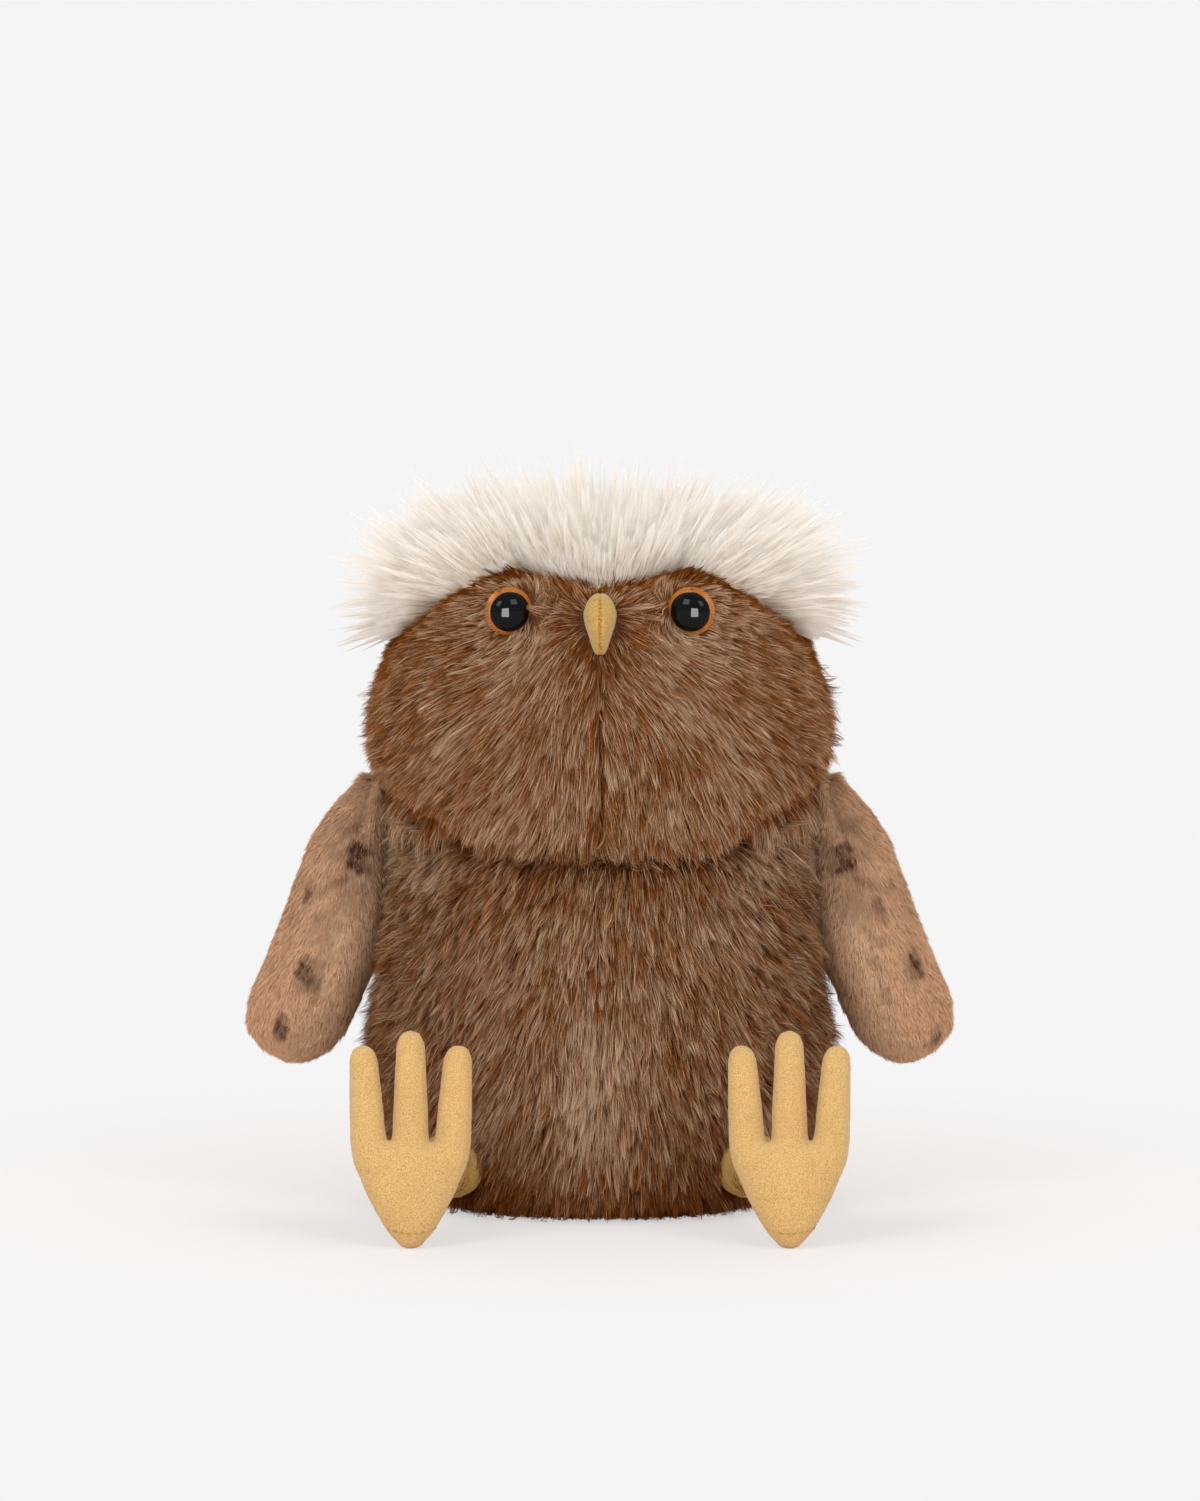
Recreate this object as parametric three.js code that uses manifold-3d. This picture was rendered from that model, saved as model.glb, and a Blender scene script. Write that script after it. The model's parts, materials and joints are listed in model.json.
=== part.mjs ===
// A plush owl that sits upright on a flat base. A stuffed head is sewn on a stuffed body, two stuffed
// wings and two stuffed legs swing at their seams, and each leg ends in a suede foot with three toes.
// Millimetres, +Z up. The origin is the middle of the flat base, -Y is the way the owl faces, and
// left and right are the owl's own: its left side is +X.

import * as THREE from 'three';
import { mergeVertices } from 'three/addons/utils/BufferGeometryUtils.js';
import Module from 'manifold-3d';

const wasm = await Module();
wasm.setup();

// Seams and cloth
const seamGap = 0.3; // between two sewn edges, and between a cloth and what it covers
const fillingGap = 0.5; // between the cloth of a tapered limb and its filling
const furCloth = 3; // long-pile cloth with its pile pressed flat
const wingCloth = 2.2; // short-pile cloth
const suede = 1.2;
const legCloth = 1.5;
const beakSuede = 1;
const beakFillingGap = 0.8;
const overrun = 20; // how far a cutter passes what it cuts

// The neck seam, low at the chin and higher at the sides
const chinHeight = 115.4;
const neckSeamRise = 11.5; // at the head's full half width
const bodyBeyondChin = 18.6; // how far the body runs up to its open top, which the seam cuts off
const headBeyondChin = 11.4; // how far the head runs down to its open end, which the seam cuts off

// Body
const bodyHalfWidth = 67.5;
const bodyFrontDepth = 64.5;
const bodyBackDepth = 57;
const bodyHeight = chinHeight + bodyBeyondChin;
const bodyPower = 2.15; // 2 is an ellipse in plan, and more is squarer
// Each row: height, half width, front and back as shares of the four sizes above
const bodyShares = [
  [0, 0.637, 0.651, 0.7],
  [0.022, 0.735, 0.75, 0.79],
  [0.067, 0.835, 0.845, 0.875],
  [0.15, 0.92, 0.925, 0.94],
  [0.284, 0.98, 0.98, 0.985],
  [0.433, 1, 1, 1],
  [0.597, 0.985, 0.985, 0.98],
  [0.731, 0.955, 0.95, 0.945],
  [0.821, 0.93, 0.915, 0.905],
  [0.91, 0.91, 0.885, 0.885],
  [1, 0.89, 0.86, 0.86],
];

// Head
const headHalfWidth = 68;
const headFrontDepth = 67.5;
const headBackDepth = 56;
const headBottom = chinHeight - headBeyondChin;
const headTop = 211;
const headPower = 2.6;
const headShares = [
  [0, 0.9, 0.86, 0.86],
  [0.1, 0.905, 0.875, 0.88],
  [0.16, 0.935, 0.925, 0.925],
  [0.235, 0.972, 0.968, 0.962],
  [0.34, 1, 1, 1],
  [0.49, 1, 1, 1],
  [0.64, 0.957, 0.985, 0.985],
  [0.755, 0.925, 0.967, 0.95],
  [0.84, 0.885, 0.94, 0.89],
  [0.9, 0.83, 0.9, 0.81],
  [0.945, 0.73, 0.8, 0.7],
  [0.98, 0.54, 0.6, 0.52],
  [1, 0, 0, 0],
];

// The crest: a cap of long pile that starts at the brow line and ends behind the crown
const crestHalfWidth = 73;
const crestFrontDepth = 65.5;
const crestBackDepth = 44;
const crestBottom = 150;
const crestTop = 223;
const crestBackEdge = 34;
const crestPower = 2.7;
const crestShares = [
  [0, 0.85, 0.88, 1],
  [0.19, 0.925, 0.96, 1],
  [0.36, 0.97, 1, 1],
  [0.55, 1, 1, 0.98],
  [0.72, 0.985, 0.955, 0.9],
  [0.84, 0.9, 0.84, 0.7],
  [0.93, 0.72, 0.65, 0.45],
  [0.98, 0.44, 0.38, 0.24],
  [1, 0, 0, 0],
];
const browMiddleHeight = 199.6;
const browPeakHeight = 204;
const browEndHeight = 160;
// Each row: share of the crest's half width, then share of the way from the brow's end to its peak
const browShares = [
  [0.14, 0.93],
  [0.27, 0.97],
  [0.37, 1],
  [0.46, 0.985],
  [0.58, 0.875],
  [0.69, 0.715],
  [0.78, 0.565],
  [0.85, 0.39],
  [0.91, 0.21],
];
const browGap = 0.6; // upright, so that the brow's steep ends keep the seam's gap too
const sideSeamDepth = 8; // how far behind the middle the seam between face and head back runs

// Eyes: an amber disc on a shank, a black dome on the disc and a lock washer behind the cloth
const eyeSpacing = 57.2;
const eyeHeight = 193.2;
const eyeDepth = 61.5; // of the disc's seat, in front of the middle
const eyeInwardTurn = THREE.MathUtils.degToRad(14);
const eyeUpwardTurn = THREE.MathUtils.degToRad(-3);
const eyeRadius = 7.5;
const irisThickness = 1.7;
const irisRimHeight = 0.8;
const pupilRadius = 6.5;
const pupilHeight = 3.7;
const shankRadius = 2.2;
const shankBeyondWasher = 2.5;
const washerRadius = 6.6;
const washerThickness = 1.5;
const eyeSeatMargin = 3; // of cloth round the disc
const eyeSeatDepth = 24; // how far back the padding behind an eye runs
const eyeSeatSpread = 8; // how much wider that padding is at its back

// Beak
const beakHalfWidth = 5.2;
const beakLength = 19.5;
const beakBulge = 9.3; // in front of the face
const beakRoot = 4; // into the face, where the face cuts it off
const beakTipHeight = 179.7;
const beakSeatDepth = 65.4; // of the face behind the beak, in front of the middle
// Each row: length, half width and bulge
const beakShares = [
  [0, 0, 0],
  [0.045, 0.33, 0.6],
  [0.13, 0.47, 0.77],
  [0.3, 0.66, 0.95],
  [0.5, 0.9, 1],
  [0.67, 1, 0.94],
  [0.84, 0.8, 0.66],
  [0.95, 0.47, 0.36],
  [1, 0, 0],
];

// Pellet pouch, the weight in the bottom of the body
const pouchHalfWidth = 38;
const pouchHalfDepth = 34;
const pouchHeight = 26;
const pouchShares = [
  [0, 0.72],
  [0.12, 0.88],
  [0.35, 1],
  [0.62, 0.96],
  [0.85, 0.72],
  [0.97, 0.36],
  [1, 0],
];

// Wings: each hangs from a round root whose axis runs front to back
const wingLength = 90;
const wingHalfThickness = 16.6;
const wingHalfDepth = 23.5;
const wingRootRadius = 5.5;
const wingRootHalfDepth = 14;
const wingHingeHeight = 130.2;
const wingHingeDepth = -4; // behind the middle, so here a little in front of it
const wingHingeRow = 3; // the row of the head's shares that is level with the hinge
const wingSplay = THREE.MathUtils.degToRad(17);
const wingEdgePower = 2.2;
const wingEdgeSharpness = 0.72; // half is round and more is sharper, at the front and back seams
// Each row, from the tip: length, half thickness, half depth, and how far the middle leans out as a
// share of the half thickness
const wingShares = [
  [1, 0, 0, 0],
  [0.975, 0.38, 0.36, 0.03],
  [0.92, 0.64, 0.62, 0.06],
  [0.83, 0.82, 0.83, 0],
  [0.7, 0.96, 0.97, -0.1],
  [0.55, 1, 1, -0.16],
  [0.38, 0.93, 0.96, -0.12],
  [0.22, 0.76, 0.84, 0],
  [0.1, 0.58, 0.71, 0],
];
// Each row: height over the axis and half thickness as shares of the root's radius, then half depth
// as a share of the root's
const wingRootShares = [
  [0, 1, 1],
  [0.5, 0.86, 0.93],
  [0.85, 0.52, 0.75],
  [1, 0, 0],
];

// Legs: each has a ball at the hip, held in the body's side, and runs forward to its foot
const hipRadius = 11;
const hipClearance = 0.6; // of the ball, so that its flat facets turn freely
const hipHalfSpacing = 46;
const hipDepth = 46.5;
const hipHeight = 17.5;
const ankleHalfSpacing = 56.5;
const ankleSetBack = 5.6; // from the foot's middle back to the ankle
const ankleHeight = 19;
const ankleRadius = 10;
const calfRadius = 8.6;

// Feet: a round heel pad and three long toes, standing on the heel with the sole to the front
const footHalfWidth = 19;
const footHalfThickness = 6.5;
const heelPadHeight = 32.5;
const footPower = 2.3;
const footHalfSpacing = 58.6;
const footDepth = 104.6;
const footLean = THREE.MathUtils.degToRad(12);
const heelFlat = 0.5; // how deep the heel is cut flat where it stands
const toeSpread = 14.6; // between two toes' tips
const toeRootSpread = 12.7;
const toeRadius = 4.4;
const toeRootRadius = 6.2;
const middleToeHeight = 67.3;
const sideToeHeight = 62.8;
const toeRootHeight = 26;
const toeTail = 14; // how far a toe's narrowing end runs down into the heel pad
// Each row: height, half width and half thickness of the heel pad
const heelPadShares = [
  [0, 0, 0],
  [0.03, 0.19, 0.5],
  [0.15, 0.4, 0.82],
  [0.3, 0.56, 0.95],
  [0.47, 0.72, 1],
  [0.72, 0.91, 1],
  [0.9, 0.97, 0.92],
  [0.98, 0.8, 0.6],
  [1, 0, 0],
];

// How finely the round forms are drawn
const bodySegments = 28;
const wingSegments = 16;
const padSegments = 14;
const toeSegments = 8;
const legSegments = 12;
const hipSegments = 20;
const beakSegments = 10;
const eyeSegments = 18;
const domeSteps = 4;
const seamSteps = 10;

// Colours
const rustBrown = 0x8a6248;
const cream = 0xede3d3;
const wingTan = 0xb8926e;
const wingBrown = 0xa98d70;
const legTan = 0xc6a07c;
const suedeGold = 0xddb96e;
const beakGold = 0xd3b968;
const amber = 0xc77a12;
const gloss = 0x0a0c0e;
const washerWhite = 0xe6e4de;
const fibreWhite = 0xf2efe8;
const pouchGrey = 0xc9c4ba;

// A solid that can be cut and joined, from a closed geometry
function solidOf(geometry) {
  let bare = geometry;
  if (geometry.attributes.normal || geometry.attributes.uv) {
    geometry.deleteAttribute('normal');
    geometry.deleteAttribute('uv');
    bare = mergeVertices(geometry);
  }
  const mesh = new wasm.Mesh({
    numProp: 3,
    vertProperties: new Float32Array(bare.attributes.position.array),
    triVerts: new Uint32Array(bare.index.array),
  });
  return new wasm.Manifold(mesh);
}

function geometryOf(solid) {
  const mesh = solid.getMesh();
  const geometry = new THREE.BufferGeometry();
  geometry.setAttribute('position', new THREE.BufferAttribute(mesh.vertProperties, 3));
  geometry.setIndex(new THREE.BufferAttribute(mesh.triVerts, 1));
  return geometry;
}

// The same solid, seen from the frame of a placed group
function inFrameOf(group, solid) {
  group.updateMatrix();
  return solidOf(geometryOf(solid).applyMatrix4(group.matrix.clone().invert()));
}

// A rounded section: half width to both sides, and its own depth to the front and to the back
function roundSection(ring, angle) {
  const power = 2 / (ring.power ?? 2);
  const across = Math.cos(angle);
  const along = Math.sin(angle);
  const depth = along < 0 ? ring.front : ring.back;
  return [
    ring.halfWidth * Math.sign(across) * Math.abs(across) ** power,
    depth * Math.sign(along) * Math.abs(along) ** power,
  ];
}

// A section like a lens, with a seam edge at the front and at the back
function lensSection(ring, angle) {
  const along = Math.sin(angle);
  const swell = (1 - Math.abs(along) ** wingEdgePower) ** wingEdgeSharpness;
  return [ring.halfWidth * Math.sign(Math.cos(angle)) * swell, ring.front * along];
}

// Sections stacked from the lowest up. A section with no width is a single point, and an end that has
// a width is closed flat.
function loft(rings, segments, section = roundSection) {
  const positions = [];
  const index = [];
  const starts = rings.map((ring) => {
    const start = positions.length / 3;
    const count = ring.halfWidth > 0 ? segments : 1;
    for (let i = 0; i < count; i += 1) {
      const [x, y] = count > 1 ? section(ring, (2 * Math.PI * i) / segments) : [0, 0];
      positions.push((ring.x ?? 0) + x, (ring.y ?? 0) + y, ring.z);
    }
    return { start, count };
  });
  const corner = (row, i) => row.start + (row.count > 1 ? i % segments : 0);
  const addFace = (a, b, c) => {
    if (a !== b && b !== c && c !== a) {
      index.push(a, b, c);
    }
  };
  for (let row = 0; row + 1 < rings.length; row += 1) {
    const [low, high] = [starts[row], starts[row + 1]];
    for (let i = 0; i < segments; i += 1) {
      addFace(corner(low, i), corner(low, i + 1), corner(high, i + 1));
      addFace(corner(low, i), corner(high, i + 1), corner(high, i));
    }
  }
  const closeEnd = (row, ring, turned) => {
    if (row.count > 1) {
      const middle = positions.length / 3;
      positions.push(ring.x ?? 0, ring.y ?? 0, ring.z);
      for (let i = 0; i < segments; i += 1) {
        const pair = [corner(row, i), corner(row, i + 1)];
        addFace(middle, pair[turned ? 1 : 0], pair[turned ? 0 : 1]);
      }
    }
  };
  closeEnd(starts[0], rings[0], true);
  closeEnd(starts.at(-1), rings.at(-1), false);
  const geometry = new THREE.BufferGeometry();
  geometry.setAttribute('position', new THREE.Float32BufferAttribute(positions, 3));
  geometry.setIndex(index);
  return geometry;
}

// The same closed form with its surface moved in, or out where the distance is below zero
function inset(geometry, distance) {
  const form = geometry.clone();
  form.computeVertexNormals();
  const { position, normal } = form.attributes;
  for (let i = 0; i < position.count; i += 1) {
    position.setXYZ(
      i,
      position.getX(i) - distance * normal.getX(i),
      position.getY(i) - distance * normal.getY(i),
      position.getZ(i) - distance * normal.getZ(i),
    );
  }
  form.deleteAttribute('normal');
  return form;
}

// A solid with an outline in the XZ plane, from one depth to another
function prismAlongY(outline, from, to) {
  const shape = new THREE.Shape(outline);
  const geometry = new THREE.ExtrudeGeometry(shape, { depth: to - from, bevelEnabled: false });
  return solidOf(geometry.rotateX(Math.PI / 2).translate(0, to, 0));
}

function block(low, high) {
  const size = new THREE.Vector3().subVectors(high, low);
  const middle = new THREE.Vector3().addVectors(low, high).multiplyScalar(0.5);
  return solidOf(new THREE.BoxGeometry(...size).translate(...middle));
}

// Everything to one side of a plane across X, Y or Z, as far as the toy reaches
const reach = headTop + overrun;
function beyond(axis, place, sign) {
  const low = new THREE.Vector3(-reach, -reach, -reach);
  const high = new THREE.Vector3(reach, reach, 2 * reach);
  (sign > 0 ? low : high)[axis] = place;
  return block(low, high);
}

// A solid of revolution about Z, from points that are each a radius and a height
function turned(points, segments) {
  const profile = points.map(([radius, height]) => new THREE.Vector2(radius, height));
  return new THREE.LatheGeometry(profile, segments).rotateX(Math.PI / 2);
}

function rod(radius, low, high, segments, topRadius = radius) {
  return solidOf(turned([[0, low], [radius, low], [topRadius, high], [0, high]], segments));
}

function node(name, solid, colour, roughness) {
  const material = new THREE.MeshStandardMaterial({ color: colour, roughness, metalness: 0 });
  const mesh = new THREE.Mesh(geometryOf(solid), material);
  mesh.name = name;
  return mesh;
}

const fur = 0.95;
const soft = 0.9;
const shiny = 0.08;
const leftSide = 1;
const rightSide = -1;
const sideNames = new Map([[leftSide, 'left'], [rightSide, 'right']]);

// The body and head as whole forms, before their seams part them
const bodyForm = loft(
  bodyShares.map(([height, width, front, back]) => ({
    z: height * bodyHeight,
    halfWidth: width * bodyHalfWidth,
    front: front * bodyFrontDepth,
    back: back * bodyBackDepth,
    power: bodyPower,
  })),
  bodySegments,
);
const headForm = loft(
  headShares.map(([height, width, front, back]) => ({
    z: headBottom + height * (headTop - headBottom),
    halfWidth: width * headHalfWidth,
    front: front * headFrontDepth,
    back: back * headBackDepth,
    power: headPower,
  })),
  bodySegments,
);
const crestForm = loft(
  crestShares.map(([height, width, front, back]) => ({
    z: crestBottom + height * (crestTop - crestBottom),
    halfWidth: width * crestHalfWidth,
    front: front * crestFrontDepth,
    back: back * crestBackDepth,
    power: crestPower,
  })),
  bodySegments,
);

// Everything under the neck seam, or over it where the sign is above zero
function besideNeckSeam(sign, shift) {
  const half = crestHalfWidth + overrun;
  const outline = [];
  for (let i = 0; i <= seamSteps; i += 1) {
    const x = half * ((2 * i) / seamSteps - 1);
    const rise = neckSeamRise * (x / headHalfWidth) ** 2;
    outline.push(new THREE.Vector2(x, chinHeight + rise + sign * shift));
  }
  const end = sign * reach;
  outline.push(new THREE.Vector2(half, end), new THREE.Vector2(-half, end));
  return prismAlongY(outline, -reach, reach);
}
const underNeck = besideNeckSeam(-1, seamGap / 2);
const overNeck = besideNeckSeam(1, seamGap / 2);

// The space over the brow line and in front of the crest's back edge, made larger by a margin
function crestSpace(margin) {
  const half = [
    [0, browMiddleHeight],
    ...browShares.map(([across, up]) => [
      across * crestHalfWidth,
      browEndHeight + up * (browPeakHeight - browEndHeight),
    ]),
    [crestHalfWidth, browEndHeight],
    [crestHalfWidth + overrun, browEndHeight],
  ];
  const mirrored = half.slice(1).reverse().map(([x, z]) => [-x, z]);
  const outline = [...mirrored, ...half].map(([x, z]) => new THREE.Vector2(x, z - margin));
  outline.push(
    new THREE.Vector2(crestHalfWidth + overrun, crestTop + overrun),
    new THREE.Vector2(-crestHalfWidth - overrun, crestTop + overrun),
  );
  return prismAlongY(outline, -reach, crestBackEdge + margin);
}

// Eyes. In an eye's own frame, +Z is the way it looks and zero is the face of the cloth it sits on.
function eyeFrame(side) {
  const frame = new THREE.Group();
  frame.position.set((side * eyeSpacing) / 2, -eyeDepth, eyeHeight);
  frame.rotation.order = 'ZXY';
  frame.rotation.set(Math.PI / 2 - eyeUpwardTurn, 0, -side * eyeInwardTurn);
  frame.updateMatrix();
  return frame;
}
const eyes = [leftSide, rightSide].map((side) => ({ side, frame: eyeFrame(side) }));
const eyeSocketRadius = eyeRadius + seamGap;
const shankLength = furCloth + seamGap + washerThickness + shankBeyondWasher;
const inWorld = (frame, solid) => solidOf(geometryOf(solid).applyMatrix4(frame.matrix));

// The head's form at a depth under its surface, padded out behind the eyes and dished to seat them
function headAt(depth) {
  let form = solidOf(inset(headForm, depth));
  for (const { frame } of eyes) {
    const seat = eyeSocketRadius + eyeSeatMargin - depth;
    const back = depth - eyeSeatDepth;
    const padding = rod(seat + eyeSeatSpread, back, -depth, eyeSegments, seat);
    const dish = rod(eyeSocketRadius + depth, -depth, overrun, eyeSegments);
    form = form.add(inWorld(frame, padding)).subtract(inWorld(frame, dish));
  }
  return form;
}
const headOuter = headAt(0);
const headInner = headAt(furCloth);
const fillingDepth = furCloth + seamGap;

// Wings. In a wing's own frame the root's axis is Y and the wing hangs down, along -Z.
const headShareAtHinge = headShares[wingHingeRow][1];
const wingHingeHalfSpacing = headHalfWidth * headShareAtHinge + seamGap + wingRootRadius;
const wingFormAt = (side, depth) =>
  loft(
    [
      ...wingShares.map(([length, thickness, breadth, lean]) => ({
        x: side * lean * wingHalfThickness,
        z: -length * (wingLength - depth),
        halfWidth: thickness * (wingHalfThickness - depth),
        front: breadth * (wingHalfDepth - depth),
      })),
      ...wingRootShares.map(([height, thickness, breadth]) => ({
        z: height * (wingRootRadius - depth),
        halfWidth: thickness * (wingRootRadius - depth),
        front: breadth * (wingRootHalfDepth - depth),
      })),
    ],
    wingSegments,
    lensSection,
  );

// The body and head together, with their surface moved out by a distance
function besideWings(distance) {
  return solidOf(inset(bodyForm, -distance)).add(solidOf(inset(headForm, -distance)));
}

function makeWing(side) {
  const wing = new THREE.Group();
  wing.position.set(side * wingHingeHalfSpacing, wingHingeDepth, wingHingeHeight);
  wing.rotation.y = -side * wingSplay;
  const formAt = (depth) =>
    solidOf(wingFormAt(side, depth)).subtract(inFrameOf(wing, besideWings(seamGap + depth)));
  const cloth = formAt(0).subtract(formAt(wingCloth));
  const name = `wing_${sideNames.get(side)}`;
  const outerCloth = cloth.intersect(beyond('x', (side * seamGap) / 2, side));
  const innerCloth = cloth.intersect(beyond('x', (-side * seamGap) / 2, -side));
  wing.add(
    node(`${name}_outer_panel`, outerCloth, wingTan, fur),
    node(`${name}_inner_panel`, innerCloth, wingBrown, fur),
    node(`${name}_filling`, formAt(wingCloth + fillingGap), fibreWhite, soft),
  );
  return wing;
}

// The round space that a wing's root turns in, cut from the cloth beside it
function wingRootSpace(side) {
  const space = turned(
    [
      [0, -wingHalfDepth],
      [wingRootRadius + seamGap, -wingHalfDepth],
      [wingRootRadius + seamGap, wingHalfDepth],
      [0, wingHalfDepth],
    ],
    padSegments,
  );
  space.rotateX(Math.PI / 2);
  space.translate(side * wingHingeHalfSpacing, wingHingeDepth, wingHingeHeight);
  return solidOf(space);
}

// Feet. In a foot's own frame zero is under the heel, +Z runs up the sole and -Y is the sole's side.
function toeForm(place) {
  const top = place === 0 ? middleToeHeight : sideToeHeight;
  const roundEnd = top - toeRadius;
  const ring = (height, radius) => {
    const share = (height - toeRootHeight) / (roundEnd - toeRootHeight);
    const across = place * (toeRootSpread + share * (toeSpread - toeRootSpread));
    return { x: across, z: height, halfWidth: radius, front: radius, back: radius };
  };
  const shoulder = toeRadius * Math.SQRT1_2;
  return loft(
    [
      ring(toeRootHeight - toeTail, 0),
      ring(toeRootHeight, toeRootRadius),
      ring(roundEnd, toeRadius),
      ring(roundEnd + shoulder, shoulder),
      ring(top, 0),
    ],
    toeSegments,
  );
}

const heelPad = loft(
  heelPadShares.map(([height, width, thickness]) => ({
    z: height * heelPadHeight - heelFlat,
    halfWidth: width * footHalfWidth,
    front: thickness * footHalfThickness,
    back: thickness * footHalfThickness,
    power: footPower,
  })),
  padSegments,
);
const toePlaces = [-1, 0, 1];

function footFormAt(depth) {
  let foot = solidOf(inset(heelPad, depth));
  for (const place of toePlaces) {
    foot = foot.add(solidOf(inset(toeForm(place), depth)));
  }
  return foot;
}

function makeFoot(side) {
  const foot = new THREE.Group();
  foot.position.set(side * footHalfSpacing, -footDepth, 0);
  foot.rotation.x = -footLean;
  const floorUnder = (height) => inFrameOf(foot, beyond('z', height, -1));
  const outer = footFormAt(0).subtract(floorUnder(0));
  const cloth = outer.subtract(footFormAt(suede).subtract(floorUnder(suede)));
  const depth = suede + seamGap;
  const filling = footFormAt(depth).subtract(floorUnder(depth));
  const name = `foot_${sideNames.get(side)}`;
  foot.add(
    node(`${name}_sole`, cloth.intersect(beyond('y', -seamGap / 2, -1)), suedeGold, fur),
    node(`${name}_top`, cloth.intersect(beyond('y', seamGap / 2, 1)), suedeGold, fur),
    node(`${name}_filling`, filling, fibreWhite, soft),
  );
  return foot;
}

// Legs. In a leg's own frame the ball's middle is zero and +Z runs to the ankle.
function makeLeg(side, foot) {
  const leg = new THREE.Group();
  leg.position.set(side * hipHalfSpacing, -hipDepth, hipHeight);
  const ankle = new THREE.Vector3(
    side * ankleHalfSpacing,
    ankleSetBack - footDepth,
    ankleHeight,
  );
  const run = ankle.clone().sub(leg.position);
  leg.quaternion.setFromUnitVectors(new THREE.Vector3(0, 0, 1), run.clone().normalize());
  foot.updateMatrix();
  const formAt = (depth) => {
    const rings = [];
    for (let i = 0; i <= domeSteps; i += 1) {
      const angle = (Math.PI / 2) * (i / domeSteps - 1);
      rings.push([hipRadius * Math.sin(angle), hipRadius * Math.cos(angle)]);
    }
    rings[0][1] = 0;
    rings.push([hipRadius, calfRadius], [run.length() / 2, calfRadius]);
    rings.push([run.length(), ankleRadius], [run.length() + footHalfThickness, ankleRadius]);
    const form = loft(
      rings.map(([height, radius]) => ({
        z: height, halfWidth: radius, front: radius, back: radius,
      })),
      legSegments,
    );
    const footFace = inWorld(foot, footFormAt(-seamGap));
    return solidOf(inset(form, depth)).subtract(inFrameOf(leg, footFace));
  };
  const behindFoot = inFrameOf(leg, inWorld(foot, beyond('y', footHalfThickness / 2, 1)));
  const inner = formAt(legCloth).add(
    rod(ankleRadius - legCloth, run.length() - footHalfThickness, run.length(), legSegments),
  );
  const filling = formAt(legCloth + seamGap).intersect(behindFoot);
  const name = `leg_${sideNames.get(side)}`;
  leg.add(
    node(`${name}_sleeve`, formAt(0).intersect(behindFoot).subtract(inner), legTan, fur),
    node(`${name}_filling`, filling, fibreWhite, soft),
  );
  return leg;
}

// The round space in the body's side that a leg's ball turns in
function hipSpace(side) {
  const ball = new THREE.SphereGeometry(hipRadius + hipClearance, hipSegments, legSegments);
  return solidOf(ball.translate(side * hipHalfSpacing, -hipDepth, hipHeight));
}

// The flat base, with its edge where the body's form meets the ground
function basePlug(margin) {
  const [, width, front, back] = bodyShares[0];
  const ring = (z) => ({
    z,
    halfWidth: width * bodyHalfWidth + margin,
    front: front * bodyFrontDepth + margin,
    back: back * bodyBackDepth + margin,
    power: bodyPower,
  });
  return solidOf(loft([ring(0), ring(furCloth + margin)], bodySegments));
}

function makeBody() {
  const body = new THREE.Group();
  const spaces = [leftSide, rightSide].map((side) => hipSpace(side).add(wingRootSpace(side)));
  const clear = (solid) => spaces.reduce((left, space) => left.subtract(space), solid);
  const atDepth = (depth) => solidOf(inset(bodyForm, depth));
  const cloth = clear(
    atDepth(0).subtract(atDepth(furCloth)).subtract(basePlug(seamGap)).intersect(underNeck),
  );
  const pouch = loft(
    pouchShares.map(([height, width]) => ({
      z: fillingDepth + height * pouchHeight,
      halfWidth: width * pouchHalfWidth,
      front: width * pouchHalfDepth,
      back: width * pouchHalfDepth,
    })),
    padSegments,
  );
  const pouchSpace = solidOf(inset(pouch, -seamGap)).add(
    rod(pouchShares[0][1] * pouchHalfDepth, 0, fillingDepth + seamGap, padSegments),
  );
  const filling = clear(atDepth(fillingDepth).intersect(underNeck)).subtract(pouchSpace);
  for (const [end, endSign] of [['front', -1], ['back', 1]]) {
    for (const side of [leftSide, rightSide]) {
      const panel = cloth
        .intersect(beyond('y', sideSeamDepth + (endSign * seamGap) / 2, endSign))
        .intersect(beyond('x', (side * seamGap) / 2, side));
      body.add(node(`body_${end}_${sideNames.get(side)}_panel`, panel, rustBrown, fur));
    }
  }
  body.add(
    node('base_panel', basePlug(0), rustBrown, fur),
    node('body_filling', filling, fibreWhite, soft),
    node('pellet_pouch', solidOf(pouch), pouchGrey, soft),
  );
  return body;
}

function makeHead() {
  const head = new THREE.Group();
  const spaces = [leftSide, rightSide].map(wingRootSpace);
  const clear = (solid) => spaces.reduce((left, space) => left.subtract(space), solid);
  const eyeHoles = (solid, radius) =>
    eyes.reduce(
      (left, { frame }) =>
        left.subtract(inWorld(frame, rod(radius, -shankLength - seamGap, overrun, eyeSegments))),
      solid,
    );
  const wholeCloth = clear(headOuter.subtract(headInner).intersect(overNeck));
  const cloth = eyeHoles(wholeCloth, shankRadius + seamGap).subtract(crestSpace(browGap));
  for (const side of [leftSide, rightSide]) {
    const half = cloth.intersect(beyond('x', (side * seamGap) / 2, side));
    const faceSide = half.intersect(beyond('y', sideSeamDepth - seamGap / 2, -1));
    const backSide = half.intersect(beyond('y', sideSeamDepth + seamGap / 2, 1));
    head.add(
      node(`face_${sideNames.get(side)}_panel`, faceSide, rustBrown, fur),
      node(`head_back_${sideNames.get(side)}_panel`, backSide, rustBrown, fur),
    );
  }
  const pile = solidOf(crestForm).add(headOuter).subtract(headInner);
  const filling = eyeHoles(clear(headAt(fillingDepth).intersect(overNeck)), washerRadius + seamGap);
  head.add(
    node('crest_panel', pile.intersect(crestSpace(0)), cream, fur),
    node('head_filling', filling, fibreWhite, soft),
  );
  for (const { side, frame } of eyes) {
    frame.add(...makeEye(sideNames.get(side)));
    head.add(frame);
  }
  head.add(...makeBeak());
  return head;
}

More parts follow.
